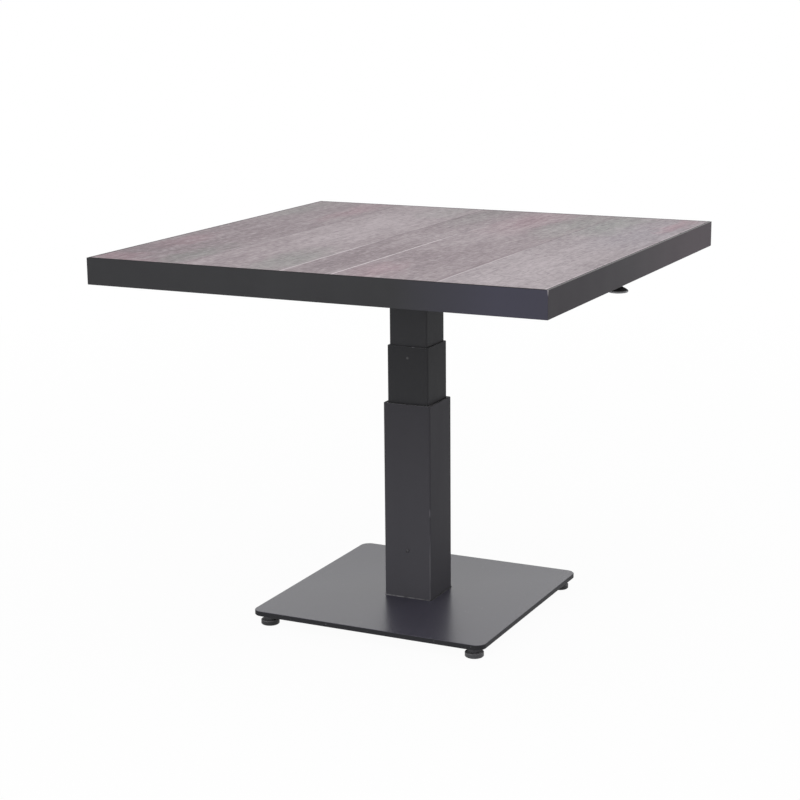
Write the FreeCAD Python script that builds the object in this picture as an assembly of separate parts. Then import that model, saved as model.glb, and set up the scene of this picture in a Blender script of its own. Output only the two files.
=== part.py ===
"""Telescoping pedestal table: a square framed top on a three-stage square column.

Millimetres. The origin is on the floor under the column's centre, +Z is up, and the
release lever runs along +X. The column is drawn fully extended. The outer tube stands
on the base plate, the middle and inner tubes slide in it on plastic sleeves, and a
locking gas spring in the middle carries the top.
"""

import FreeCAD, Part
import os
from math import cos, radians, sin, tan

Vector = FreeCAD.Vector
X_AXIS = Vector(1, 0, 0)
Y_AXIS = Vector(0, 1, 0)
Z_AXIS = Vector(0, 0, 1)
CENTRE = Vector(0, 0, 0)

# ---------------------------------------------------------------- overall sizes
TABLE_SIDE = 900.0  # square top, over the frame
TABLE_HEIGHT = 742.0  # floor to top surface, column extended
LOWERED_HEIGHT = 474.0  # floor to top surface, column pushed down
BASE_SIDE = 490.0  # square base plate
FRAME_HEIGHT = 50.0  # frame bar, bottom edge to top surface

# ---------------------------------------------------------------- fits
SLIDING_GAP = 0.3  # between a plastic sleeve and the tube that slides on it
STOP_GAP = 0.3  # between two parts that meet at the end of a travel
RUNNING_FIT = 0.05  # radial, a shaft or thread in its hole
PISTON_FIT = 0.1  # radial, piston in its cylinder
CLEAT_GAP = 0.2  # corner cleat in the frame bar
PANEL_GAP = 0.5  # panel edge to frame lip
EDGE_BREAK = 0.4  # chamfer on a sawn tube end
BEND_RADIUS = 0.5  # inside a fold in sheet metal
FACE_TOLERANCE = 0.01  # for picking out edges by their place

# ---------------------------------------------------------------- base plate and feet
BASE_THICKNESS = 10.0
BASE_CORNER_RADIUS = 20.0
BASE_EDGE_BREAK = 1.0
FLOOR_TO_PLATE = 21.0
FOOT_INSET = 27.0  # foot centre to base plate edge
FOOT_PAD_RADIUS = 18.0
FOOT_PAD_HEIGHT = 9.0
FOOT_PAD_CHAMFER = 1.4
FOOT_STUD_RADIUS = 5.0
FOOT_STUD_FLANGE_RADIUS = 10.0
FOOT_STUD_FLANGE_THICKNESS = 3.0
FOOT_STUD_CHAMFER = 1.0
FOOT_FLANGE_RECESS = 1.0  # stud's flange below the top of the pad
FOOT_PAD_FLOOR = FOOT_PAD_HEIGHT - FOOT_FLANGE_RECESS - FOOT_STUD_FLANGE_THICKNESS
FOOT_BOSS_RADIUS = 12.0
FOOT_BOSS_CHAMFER = 1.0
FOOT_STUD_ENGAGEMENT = 7.7  # stud length up inside the base plate
FOOT_HOLE_SPARE = 0.3

# ---------------------------------------------------------------- column tubes
OUTER_SIDE = 100.0
OUTER_WALL = 3.5
OUTER_RADIUS = 4.0
OUTER_SLEEVE_SPACE = 3.0  # between the outer and middle tubes
MIDDLE_SIDE = OUTER_SIDE - 2 * (OUTER_WALL + OUTER_SLEEVE_SPACE)
MIDDLE_WALL = 2.0
MIDDLE_RADIUS = 3.5
INNER_SLEEVE_SPACE = 1.5  # between the middle and inner tubes
INNER_SIDE = MIDDLE_SIDE - 2 * (MIDDLE_WALL + INNER_SLEEVE_SPACE)
INNER_WALL = 2.5
INNER_RADIUS = 3.5
MIDDLE_TRAVEL = 113.5  # the inner tube makes the rest of the stroke
SLEEVE_RECESS = 0.5  # guide sleeve below the rim of its tube
SLEEVE_LIP = 2.0  # lower sleeve's lip under the end of its tube
SLEEVE_LAND = 14.0  # full-thickness band at a sleeve's ends and corners
SLEEVE_RELIEF = 0.4  # of the sleeve's thickness, cut away between the lands
SNAP_PIP_RADIUS = 2.5  # pip that locks the middle guide sleeve in its tube
SNAP_PIP_DEPTH = 22.7  # below the middle tube's rim
FOOT_BEAD = 2.0  # leg of the weld round the column's foot
HEAD_BEAD = 2.0  # and of the one round its head
BEAD_SLOPE = 0.7  # share of a bead's leg that slopes

# ---------------------------------------------------------------- column foot
FOOT_PLATE_THICKNESS = 10.0
COLUMN_BOLT_RADIUS = 5.0
COLUMN_BOLT_INSET = 13.5  # bolt centre to the outer tube's bore
COLUMN_BOLT_SPACING = OUTER_SIDE - 2 * (OUTER_WALL + COLUMN_BOLT_INSET)
COLUMN_BOLT_CLEARANCE = 0.2
COLUMN_BOLT_HEAD_RADIUS = 10.0
COLUMN_BOLT_HEAD_RECESS = 0.5
COLUMN_BOLT_TIP_GAP = 2.0  # bolt end below the foot plate's top
SOCKET_FLATS = 6.0
SOCKET_DEPTH = 3.0

# ---------------------------------------------------------------- stops
STOP_SCREW_HEIGHT = 96.8  # above the base plate
STOP_SCREW_RADIUS = 3.0
STOP_SCREW_HEAD_RADIUS = 3.8
STOP_SCREW_HEAD_HEIGHT = 2.0
STOP_SCREW_CROWN_RADIUS = 2.3
STOP_ROLLER_RADIUS = 4.0
STOP_ROLLER_REACH = 1.5  # roller past the middle tube's outer face
LANDING_BUMPER_HEIGHT = 12.0
LANDING_BUMPER_GAP = 4.5  # to the outer tube's bore
LANDING_BUMPER_SIDE = OUTER_SIDE - 2 * (OUTER_WALL + LANDING_BUMPER_GAP)
LANDING_BUMPER_RADIUS = 6.0
LANDING_BUMPER_CHAMFER = 1.5
LANDING_BUMPER_BORE_GAP = 3.0  # round the gas cylinder

# ---------------------------------------------------------------- gas spring
CYLINDER_RADIUS = 14.0
CYLINDER_WALL = 2.0
CYLINDER_FLOOR = 6.0
CYLINDER_FOOT_TAPER = 3.0
CYLINDER_RIM_CHAMFER = 1.0
CYLINDER_SEAT = 3.0  # cylinder floor above the foot plate
CYLINDER_STUD_RADIUS = 5.0
CYLINDER_STUD_TIP_GAP = 1.5
GLAND_LENGTH = 25.0
GLAND_CAP_SETBACK = 1.0  # cap inside the cylinder's outside
GLAND_CAP_RADIUS = CYLINDER_RADIUS - GLAND_CAP_SETBACK
GLAND_CAP_HEIGHT = 2.0
GLAND_CAP_TAPER = 1.0
PISTON_HEIGHT = 18.0
PISTON_GROOVE = 2.0
PISTON_SEAL_GAP = 0.5  # above and below the seal in its groove
PISTON_FLOOR_GAP = 3.0  # piston above the cylinder floor when lowered
ROD_RADIUS = 5.0
ROD_END_ABOVE_NUT = 2.0
PIN_RADIUS = 1.5
PIN_LENGTH = 60.0
PIN_CHAMFER = 0.5
PIN_BORE_SPARE = 12.0  # rod's bore below the pin, room for its stroke
PIN_PROJECTION = 3.7  # pin above the end of the rod
ROD_CHAMFER = 0.8

# ---------------------------------------------------------------- column head
BRIDGE_THICKNESS = 6.0
BRIDGE_VENT_RADIUS = 8.0
BRIDGE_VENT_INSET = 14.5  # vent centre to the inner tube's bore
BRIDGE_VENT_SPACING = INNER_SIDE - 2 * (INNER_WALL + BRIDGE_VENT_INSET)
NUT_FLATS = 17.0
LOWER_NUT_HEIGHT = 8.0
UPPER_NUT_HEIGHT = 6.0
MOUNT_PLATE_SIDE = 200.0
MOUNT_PLATE_THICKNESS = 5.0
MOUNT_PLATE_RADIUS = 12.0
MOUNT_PLATE_HOLE_RADIUS = 23.0
MOUNT_BOLT_INSET = 25.0  # bolt centre to the mount plate's edge
MOUNT_BOLT_SPACING = MOUNT_PLATE_SIDE - 2 * MOUNT_BOLT_INSET
MOUNT_BOLT_RADIUS = 4.0
MOUNT_BOLT_CLEARANCE = 0.3
MOUNT_BOLT_FLATS = 13.0
MOUNT_BOLT_HEAD_HEIGHT = 5.4
MOUNT_BOLT_END = 0.5  # bolt past its weld nut
MOUNT_WASHER_RADIUS = 8.0
MOUNT_WASHER_THICKNESS = 1.6
WELD_NUT_HEIGHT = 6.5

# ---------------------------------------------------------------- top
BEAM_WIDTH = 40.0
BEAM_HEIGHT = 14.0
BEAM_WALL = 2.0
BEAM_RADIUS = 2.0
FRAME_WIDTH = 25.0
FRAME_WALL = 2.0
FRAME_EDGE_RADIUS = 1.0
CLEAT_LEG = 60.0
CLEAT_WINDOW = 20.0
PANEL_THICKNESS = 7.0
PANEL_EDGE_BREAK = 0.5
WIDE_PLANK = 200.0
NARROW_PLANK = 100.0
GROOVE_WIDTH = 1.4
GROOVE_DEPTH = 0.6
BRACKET_WIDTH = 25.0
BRACKET_LEG = 25.0
BRACKET_THICKNESS = 2.0
BRACKET_HOLE = 15.0  # from the fold to the hole in either leg
BRACKET_OFFSET = 220.0  # from the middle of its frame bar
PANEL_SCREW_RADIUS = 2.0
PANEL_SCREW_HEAD_RADIUS = 4.0
PANEL_SCREW_HEAD_HEIGHT = 2.2
PANEL_SCREW_BITE = 4.5
PANEL_SCREW_HOLE_SPARE = 0.5
RIVET_RADIUS = 1.6
RIVET_HEAD_RADIUS = 3.5
RIVET_HEAD_HEIGHT = 1.2
RIVET_CROWN_RADIUS = 1.8
RIVET_TAIL = 1.5  # rivet past the inside of the frame wall

# ---------------------------------------------------------------- release lever
LEVER_ROD_RADIUS = 4.0
LEVER_PIVOT_REACH = 22.0  # pivot outside the inner tube
LEVER_PIVOT_X = INNER_SIDE / 2 + LEVER_PIVOT_REACH
LEVER_BEND_RADIUS = 12.0
KNOB_INSET = 39.5  # knob centre to the edge of the table
KNOB_X = TABLE_SIDE / 2 - KNOB_INSET
ROCKER_WIDTH = 16.0
ROCKER_HUB_RADIUS = 7.0
ROCKER_NOSE_WIDTH = 8.0
ROCKER_NOSE_RADIUS = 4.0
ROCKER_SOCKET_WALL = 2.5
ROCKER_SOCKET_RADIUS = LEVER_ROD_RADIUS + ROCKER_SOCKET_WALL
ROCKER_SOCKET_REACH = 24.0
ROCKER_SOCKET_DEPTH = 14.0
PIVOT_PIN_RADIUS = 2.5
PIVOT_PIN_HEAD_RADIUS = 4.0
PIVOT_PIN_HEAD_HEIGHT = 1.5
LEVER_BRACKET_LENGTH = 26.0
LEVER_BRACKET_THICKNESS = 2.0
LEVER_BRACKET_GAP = 0.5  # between rocker and ear
LEVER_BRACKET_EAR_RADIUS = 6.5
LEVER_HUB_GAP = 1.0  # rocker's hub below the bracket's web
LEVER_DROP = LEVER_BRACKET_THICKNESS + LEVER_HUB_GAP + ROCKER_HUB_RADIUS
LEVER_SLOT_SIDE_GAP = 3.0  # slot in the inner tube, each side of the rocker's nose
LEVER_SLOT_WIDTH = ROCKER_NOSE_WIDTH + 2 * LEVER_SLOT_SIDE_GAP
LEVER_SLOT_BELOW = 4.0  # slot below the nose, room for its stroke
LEVER_SLOT_DEPTH = LEVER_DROP + ROCKER_NOSE_RADIUS + LEVER_SLOT_BELOW
LEVER_BUFFER_RADIUS = 5.0
LEVER_BUFFER_INSET = 6.5  # buffer centre to the inner tube's bore
LEVER_BUFFER_X = INNER_SIDE / 2 - INNER_WALL - LEVER_BUFFER_INSET
KNOB_RADIUS = 19.2
KNOB_BELOW_FRAME = 27.6  # lowest point of the knob under the frame
KNOB_BOTTOM_CROWN = 1.0
KNOB_BOTTOM_BEVEL = 3.5
KNOB_RIM_RADIUS = 1.8
KNOB_CROWN_HEIGHT = 6.6  # from the rim to the neck
KNOB_CROWN_SWELL = 1.1  # the crown's rise above a straight slope
KNOB_NECK_RADIUS = 8.0
KNOB_NECK_TAPER = 1.5
KNOB_NECK_HEIGHT = 8.0
KNOB_BORE_DEPTH = 12.0

# ---------------------------------------------------------------- levels along Z
base_bottom = FLOOR_TO_PLATE
base_top = base_bottom + BASE_THICKNESS
foot_plate_top = base_top + FOOT_PLATE_THICKNESS
frame_bottom = TABLE_HEIGHT - FRAME_HEIGHT
panel_bottom = TABLE_HEIGHT - PANEL_THICKNESS
beam_bottom = panel_bottom - BEAM_HEIGHT
column_top = beam_bottom - MOUNT_PLATE_THICKNESS
stroke = TABLE_HEIGHT - LOWERED_HEIGHT
outer_top = LOWERED_HEIGHT - FRAME_HEIGHT
middle_top = outer_top + MIDDLE_TRAVEL
stop_screw_z = base_top + STOP_SCREW_HEIGHT
middle_bottom = stop_screw_z + STOP_ROLLER_RADIUS + STOP_GAP + MIDDLE_TRAVEL
bumper_top = foot_plate_top + LANDING_BUMPER_HEIGHT
inner_bottom = bumper_top + STOP_GAP + stroke
outer_bore = OUTER_SIDE - 2 * OUTER_WALL
middle_bore = MIDDLE_SIDE - 2 * MIDDLE_WALL
inner_bore = INNER_SIDE - 2 * INNER_WALL
lever_z = column_top - LEVER_DROP
pin_top = lever_z - ROCKER_NOSE_RADIUS - STOP_GAP
cylinder_bottom = foot_plate_top + CYLINDER_SEAT
lowered_piston = cylinder_bottom + CYLINDER_FLOOR + PISTON_FLOOR_GAP
piston_bottom = lowered_piston + stroke
piston_top = piston_bottom + PISTON_HEIGHT
cylinder_top = piston_top + STOP_GAP + GLAND_LENGTH
rod_top = pin_top - PIN_PROJECTION
bridge_top = rod_top - ROD_END_ABOVE_NUT - UPPER_NUT_HEIGHT
bridge_bottom = bridge_top - BRIDGE_THICKNESS
frame_inside = TABLE_SIDE / 2 - FRAME_WIDTH


# ---------------------------------------------------------------- shared shapes
def rounded_rectangle(width, depth, radius, z):
    """Outline centred on the column axis, with an arc at each corner."""
    arcs = []
    for side_x, side_y, start in ((1, 1, 0), (-1, 1, 90), (-1, -1, 180), (1, -1, 270)):
        centre = Vector(side_x * (width / 2 - radius), side_y * (depth / 2 - radius), z)
        points = []
        for degrees in (start, start + 45, start + 90):
            angle = radians(degrees)
            points.append(centre + Vector(radius * cos(angle), radius * sin(angle), 0))
        arcs.append(Part.Arc(*points))
    edges = []
    for arc, following in zip(arcs, arcs[1:] + arcs[:1]):
        edges.append(arc.toShape())
        edges.append(Part.LineSegment(arc.EndPoint, following.StartPoint).toShape())
    return Part.Wire(edges)


def square_bar(side, radius, low, high):
    """Upright square bar with rounded corners, from one height to another."""
    outline = rounded_rectangle(side, side, radius, low)
    return Part.Face(outline).extrude(Vector(0, 0, high - low))


def rim_edges(shape, z):
    """Edges that lie flat at one height."""
    found = []
    for edge in shape.Edges:
        box = edge.BoundBox
        if abs(box.ZMin - z) < FACE_TOLERANCE and abs(box.ZMax - z) < FACE_TOLERANCE:
            found.append(edge)
    return found


def square_tube(side, wall, radius, low, high):
    """Extruded square tube with its sawn ends broken."""
    body = square_bar(side, radius, low, high)
    body = body.makeChamfer(EDGE_BREAK, rim_edges(body, low) + rim_edges(body, high))
    return body.cut(square_bar(side - 2 * wall, radius - wall, low, high))


def square_ring(outer_side, outer_radius, bore_side, bore_radius, low, high):
    """Square ring between two rounded outlines."""
    ring = square_bar(outer_side, outer_radius, low, high)
    return ring.cut(square_bar(bore_side, bore_radius, low, high))


def folded(sheet, thickness, outer, inner):
    """Round a fold that runs along X, given the (y, z) of its outer and inner corner."""
    for (y, z), radius in ((outer, BEND_RADIUS + thickness), (inner, BEND_RADIUS)):
        fold = []
        for edge in sheet.Edges:
            middle = edge.CenterOfMass
            if abs(middle.y - y) < FACE_TOLERANCE and abs(middle.z - z) < FACE_TOLERANCE:
                fold.append(edge)
        sheet = sheet.makeFillet(radius, fold)
    return sheet


def box_between(low_corner, high_corner):
    """Box given by two opposite corners."""
    size = Vector(*high_corner) - Vector(*low_corner)
    return Part.makeBox(size.x, size.y, size.z, Vector(*low_corner))


def rod_along(radius, start, end):
    """Round bar from one point to another."""
    run = end - start
    return Part.makeCylinder(radius, run.Length, start, run)


def revolved(points, centre=CENTRE):
    """Solid of revolution about a vertical axis, from (radius, height) points."""
    outline = Part.makePolygon([Vector(r, 0, z) for r, z in points + points[:1]])
    solid = Part.Face(outline).revolve(CENTRE, Z_AXIS, 360)
    return solid.translated(centre)


def hexagon_bar(flats, low, high, centre):
    """Upright hexagonal bar, measured across its flats."""
    radius = flats / 2 / cos(radians(30))
    corners = []
    for step in range(7):
        angle = radians(60 * step)
        corners.append(Vector(radius * cos(angle), radius * sin(angle), low))
    bar = Part.Face(Part.makePolygon(corners)).extrude(Vector(0, 0, high - low))
    return bar.translated(centre)


def nut(flats, bore_radius, low, high, centre):
    """Hexagonal nut with its corners turned off at both ends."""
    bar = hexagon_bar(flats, low, high, centre)
    corner = flats / 2 / cos(radians(30))
    drop = (corner - flats / 2) * tan(radians(30))
    turned = revolved(
        [
            (0, low),
            (flats / 2, low),
            (corner, low + drop),
            (corner, high - drop),
            (flats / 2, high),
            (0, high),
        ],
        centre,
    )
    bore = Part.makeCylinder(bore_radius, high - low, centre + Vector(0, 0, low))
    return bar.common(turned).cut(bore)


def square_places(spacing):
    """The four corners of a square centred on the column axis."""
    half = spacing / 2
    return [Vector(x, y, 0) for x in (-half, half) for y in (-half, half)]


def quarter_turns(shape):
    """The shape and its three copies turned about the column axis."""
    return [shape.rotated(CENTRE, Z_AXIS, 90 * turn) for turn in range(4)]


def save(name, *solids):
    """Write one part, which may hold several like solids."""
    shape = solids[0] if len(solids) == 1 else Part.makeCompound(list(solids))
    shape.exportStep(f"parts/{name}.step")


# ---------------------------------------------------------------- base
def base_plate():
    plate = square_bar(BASE_SIDE, BASE_CORNER_RADIUS, base_bottom, base_top)
    rims = rim_edges(plate, base_bottom) + rim_edges(plate, base_top)
    plate = plate.makeChamfer(BASE_EDGE_BREAK, rims)
    for place in square_places(COLUMN_BOLT_SPACING):
        plate = plate.cut(column_bolt_form(place, COLUMN_BOLT_CLEARANCE, base_top))
    hole_top = base_bottom + FOOT_STUD_ENGAGEMENT + FOOT_HOLE_SPARE
    for place in square_places(BASE_SIDE - 2 * FOOT_INSET):
        start = place + Vector(0, 0, base_bottom)
        hole = rod_along(FOOT_STUD_RADIUS + RUNNING_FIT, start, place + Vector(0, 0, hole_top))
        plate = plate.cut(hole)
    return plate


def column_bolt_form(place, clearance, top):
    """Countersunk bolt, or its hole when given a clearance."""
    shank = COLUMN_BOLT_RADIUS + clearance
    head = COLUMN_BOLT_HEAD_RADIUS + clearance
    recess = 0 if clearance else COLUMN_BOLT_HEAD_RECESS
    cone_low = base_bottom + COLUMN_BOLT_HEAD_RECESS
    return revolved(
        [
            (0, base_bottom + recess),
            (head, base_bottom + recess),
            (head, cone_low + clearance),
            (shank, cone_low + clearance + head - shank),
            (shank, top),
            (0, top),
        ],
        place,
    )


def column_bolts():
    bolts = []
    for place in square_places(COLUMN_BOLT_SPACING):
        bolt = column_bolt_form(place, 0, foot_plate_top - COLUMN_BOLT_TIP_GAP)
        socket_low = base_bottom + COLUMN_BOLT_HEAD_RECESS
        socket = hexagon_bar(SOCKET_FLATS, socket_low, socket_low + SOCKET_DEPTH, place)
        bolts.append(bolt.cut(socket))
    return bolts


def column_foot_plate():
    plate = square_bar(outer_bore, OUTER_RADIUS - OUTER_WALL, base_top, foot_plate_top)
    for place in square_places(COLUMN_BOLT_SPACING):
        start = place + Vector(0, 0, base_top)
        end = place + Vector(0, 0, foot_plate_top)
        plate = plate.cut(rod_along(COLUMN_BOLT_RADIUS + RUNNING_FIT, start, end))
    start = Vector(0, 0, base_top)
    centre_hole = Part.makeCylinder(
        CYLINDER_STUD_RADIUS + RUNNING_FIT, FOOT_PLATE_THICKNESS, start
    )
    return plate.cut(centre_hole)


def foot_bosses():
    """Threaded bosses welded under the plate, one over each foot."""
    low = FOOT_PAD_HEIGHT + STOP_GAP
    bosses = []
    for place in square_places(BASE_SIDE - 2 * FOOT_INSET):
        start = place + Vector(0, 0, low)
        end = place + Vector(0, 0, base_bottom)
        boss = rod_along(FOOT_BOSS_RADIUS, start, end)
        boss = boss.makeChamfer(FOOT_BOSS_CHAMFER, rim_edges(boss, low))
        bosses.append(boss.cut(rod_along(FOOT_STUD_RADIUS + RUNNING_FIT, start, end)))
    return bosses


def foot_pad(place):
    """Turned plastic glide with a pocket for the stud's flange."""
    pocket = FOOT_STUD_FLANGE_RADIUS + RUNNING_FIT
    return revolved(
        [
            (0, 0),
            (FOOT_PAD_RADIUS - FOOT_PAD_CHAMFER, 0),
            (FOOT_PAD_RADIUS, FOOT_PAD_CHAMFER),
            (FOOT_PAD_RADIUS, FOOT_PAD_HEIGHT - FOOT_PAD_CHAMFER / 2),
            (FOOT_PAD_RADIUS - FOOT_PAD_CHAMFER / 2, FOOT_PAD_HEIGHT),
            (pocket, FOOT_PAD_HEIGHT),
            (pocket, FOOT_PAD_FLOOR),
            (0, FOOT_PAD_FLOOR),
        ],
        place,
    )


def foot_stud(place):
    """Steel stud with the flange that carries the pad."""
    flange_top = FOOT_PAD_FLOOR + FOOT_STUD_FLANGE_THICKNESS
    tip = base_bottom + FOOT_STUD_ENGAGEMENT
    return revolved(
        [
            (0, FOOT_PAD_FLOOR),
            (FOOT_STUD_FLANGE_RADIUS, FOOT_PAD_FLOOR),
            (FOOT_STUD_FLANGE_RADIUS, flange_top),
            (FOOT_STUD_RADIUS, flange_top),
            (FOOT_STUD_RADIUS, tip - FOOT_STUD_CHAMFER),
            (FOOT_STUD_RADIUS - FOOT_STUD_CHAMFER, tip),
            (0, tip),
        ],
        place,
    )


def save_feet():
    half = BASE_SIDE / 2 - FOOT_INSET
    for depth, y in (("front", -half), ("back", half)):
        for side, x in (("left", -half), ("right", half)):
            place = Vector(x, y, 0)
            save(f"{depth}_{side}_foot_pad", foot_pad(place))
            save(f"{depth}_{side}_foot_stud", foot_stud(place))


# ---------------------------------------------------------------- column
def front_and_back(radius, half_depth, z, thickness):
    """Two short bars along Y, through the front and back walls of a tube."""
    bars = []
    for side in (-1, 1):
        start = Vector(0, side * half_depth, z)
        bars.append(rod_along(radius, start, start - Vector(0, side * thickness, 0)))
    return bars


def outer_tube():
    tube = square_tube(OUTER_SIDE, OUTER_WALL, OUTER_RADIUS, base_top, outer_top)
    radius = STOP_SCREW_RADIUS + RUNNING_FIT
    for hole in front_and_back(radius, OUTER_SIDE / 2, stop_screw_z, OUTER_WALL):
        tube = tube.cut(hole)
    return tube


def weld_bead(side, radius, toe, crest):
    """Bead round a tube, widest at its toe on a plate and sloping to its crest."""
    leg = abs(crest - toe)
    low, high = min(toe, crest), max(toe, crest)
    bead = square_bar(side + 2 * leg, radius + leg, low, high)
    bead = bead.makeChamfer(BEAD_SLOPE * leg, rim_edges(bead, crest))
    return bead.cut(square_bar(side, radius, low, high))


def foot_bead():
    """Weld bead in the corner between the column and the base plate."""
    return weld_bead(OUTER_SIDE, OUTER_RADIUS, base_top, base_top + FOOT_BEAD)


def relieved(sleeve, face, low, high, thickness):
    """Cut the sliding face of a sleeve back between its lands."""
    depth = thickness * SLEEVE_RELIEF
    half_width = face - SLEEVE_LAND
    pocket = box_between(
        (face - depth, -half_width, low + SLEEVE_LAND),
        (face + depth, half_width, high - SLEEVE_LAND),
    )
    for cutter in quarter_turns(pocket):
        sleeve = sleeve.cut(cutter)
    return sleeve


def guide_sleeve(tube_bore, tube_radius, sliding_side, sliding_radius, overlap, top):
    """Sleeve fixed in the top of a tube, with its sliding faces inside."""
    bore = sliding_side + 2 * SLIDING_GAP
    high = top - SLEEVE_RECESS
    low = high - (overlap - SLEEVE_RECESS - STOP_GAP) / 2
    sleeve = square_ring(tube_bore, tube_radius, bore, sliding_radius + SLIDING_GAP, low, high)
    return relieved(sleeve, bore / 2, low, high, (tube_bore - bore) / 2)


def lower_sleeve(tube_side, tube_wall, tube_radius, guide_bore, overlap, bottom):
    """Sleeve fixed round the foot of a tube, with a lip under the tube's end."""
    outside = guide_bore - 2 * SLIDING_GAP
    thickness = (outside - tube_side) / 2
    high = bottom + (overlap - SLEEVE_RECESS - STOP_GAP) / 2
    outside_radius = tube_radius + thickness
    sleeve = square_ring(outside, outside_radius, tube_side, tube_radius, bottom, high)
    bore = tube_side - 2 * tube_wall
    lip_top = bottom + SLEEVE_LIP
    lip = square_ring(outside, outside_radius, bore, tube_radius - tube_wall, bottom, lip_top)
    sleeve = sleeve.fuse(lip).removeSplitter()
    return relieved(sleeve, outside / 2, bottom, high, thickness)


def outer_guide_sleeve():
    overlap = outer_top - middle_bottom
    radius = OUTER_RADIUS - OUTER_WALL
    return guide_sleeve(outer_bore, radius, MIDDLE_SIDE, MIDDLE_RADIUS, overlap, outer_top)


def middle_tube():
    tube_low = middle_bottom + SLEEVE_LIP
    tube = square_tube(MIDDLE_SIDE, MIDDLE_WALL, MIDDLE_RADIUS, tube_low, middle_top)
    radius = SNAP_PIP_RADIUS + RUNNING_FIT
    pip_z = middle_top - SNAP_PIP_DEPTH
    for hole in front_and_back(radius, MIDDLE_SIDE / 2, pip_z, MIDDLE_WALL):
        tube = tube.cut(hole)
    return tube


def middle_guide_sleeve():
    """Sleeve in the middle tube's top, locked by a pip in the front and back walls."""
    overlap = middle_top - inner_bottom
    radius = MIDDLE_RADIUS - MIDDLE_WALL
    sleeve = guide_sleeve(middle_bore, radius, INNER_SIDE, INNER_RADIUS, overlap, middle_top)
    pip_z = middle_top - SNAP_PIP_DEPTH
    reach = (MIDDLE_SIDE - INNER_SIDE) / 2 - SLIDING_GAP
    for pip in front_and_back(SNAP_PIP_RADIUS, MIDDLE_SIDE / 2, pip_z, reach):
        sleeve = sleeve.fuse(pip)
    return sleeve


def middle_lower_sleeve():
    overlap = outer_top - middle_bottom
    return lower_sleeve(
        MIDDLE_SIDE, MIDDLE_WALL, MIDDLE_RADIUS, outer_bore, overlap, middle_bottom
    )


def inner_tube():
    """Inner tube, slotted at the top of its right wall for the release rocker."""
    tube_low = inner_bottom + SLEEVE_LIP
    tube = square_tube(INNER_SIDE, INNER_WALL, INNER_RADIUS, tube_low, column_top)
    return tube.cut(rocker_slot())


def rocker_slot():
    """Cutter for the way that the release rocker takes into the column."""
    return box_between(
        (0, -LEVER_SLOT_WIDTH / 2, column_top - LEVER_SLOT_DEPTH),
        (INNER_SIDE, LEVER_SLOT_WIDTH / 2, column_top),
    )


def inner_lower_sleeve():
    overlap = middle_top - inner_bottom
    return lower_sleeve(INNER_SIDE, INNER_WALL, INNER_RADIUS, middle_bore, overlap, inner_bottom)


# ---------------------------------------------------------------- stops
def stop_screws():
    """Button-head screws through the front and back of the outer tube."""
    length = OUTER_SIDE / 2 - MIDDLE_SIDE / 2 + STOP_ROLLER_REACH
    screws = []
    for side, shank in zip(
        (-1, 1), front_and_back(STOP_SCREW_RADIUS, OUTER_SIDE / 2, stop_screw_z, length)
    ):
        face = Vector(0, side * OUTER_SIDE / 2, stop_screw_z)
        tip = face + Vector(0, side * STOP_SCREW_HEAD_HEIGHT, 0)
        head = Part.makeCone(
            STOP_SCREW_HEAD_RADIUS,
            STOP_SCREW_CROWN_RADIUS,
            STOP_SCREW_HEAD_HEIGHT,
            face,
            tip - face,
        )
        screws.append(head.fuse(shank).removeSplitter())
    return screws


def stop_rollers():
    """Plastic rollers on the stop screws, which catch the middle tube's foot."""
    length = outer_bore / 2 - MIDDLE_SIDE / 2 + STOP_ROLLER_REACH
    rollers = front_and_back(STOP_ROLLER_RADIUS, outer_bore / 2, stop_screw_z, length)
    radius = STOP_SCREW_RADIUS + RUNNING_FIT
    bores = front_and_back(radius, outer_bore / 2, stop_screw_z, length)
    return [roller.cut(bore) for roller, bore in zip(rollers, bores)]


def landing_bumper():
    """Rubber block that the inner tube lands on."""
    block = square_bar(LANDING_BUMPER_SIDE, LANDING_BUMPER_RADIUS, foot_plate_top, bumper_top)
    block = block.makeChamfer(LANDING_BUMPER_CHAMFER, rim_edges(block, bumper_top))
    bore = Part.makeCylinder(
        CYLINDER_RADIUS + LANDING_BUMPER_BORE_GAP,
        LANDING_BUMPER_HEIGHT,
        Vector(0, 0, foot_plate_top),
    )
    return block.cut(bore)


# ---------------------------------------------------------------- gas spring
def gas_cylinder():
    """Pressure tube with a closed foot and a stud for the column's foot plate."""
    bore = CYLINDER_RADIUS - CYLINDER_WALL
    floor = cylinder_bottom + CYLINDER_FLOOR
    stud_low = base_top + CYLINDER_STUD_TIP_GAP
    return revolved(
        [
            (0, stud_low),
            (CYLINDER_STUD_RADIUS, stud_low),
            (CYLINDER_STUD_RADIUS, foot_plate_top),
            (CYLINDER_RADIUS - CYLINDER_FOOT_TAPER, foot_plate_top),
            (CYLINDER_RADIUS, cylinder_bottom),
            (CYLINDER_RADIUS, cylinder_top - CYLINDER_RIM_CHAMFER),
            (CYLINDER_RADIUS - CYLINDER_RIM_CHAMFER, cylinder_top),
            (bore, cylinder_top),
            (bore, floor),
            (0, floor),
        ]
    )


def cylinder_gland():
    """Rod guide and seal carrier closing the cylinder's top."""
    plug = CYLINDER_RADIUS - CYLINDER_WALL - RUNNING_FIT
    bore = ROD_RADIUS + RUNNING_FIT
    low = cylinder_top - GLAND_LENGTH
    cap_top = cylinder_top + GLAND_CAP_HEIGHT
    return revolved(
        [
            (bore, low),
            (plug, low),
            (plug, cylinder_top),
            (GLAND_CAP_RADIUS, cylinder_top),
            (GLAND_CAP_RADIUS, cap_top - GLAND_CAP_TAPER),
            (GLAND_CAP_RADIUS - GLAND_CAP_TAPER, cap_top),
            (bore, cap_top),
        ]
    )


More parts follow.
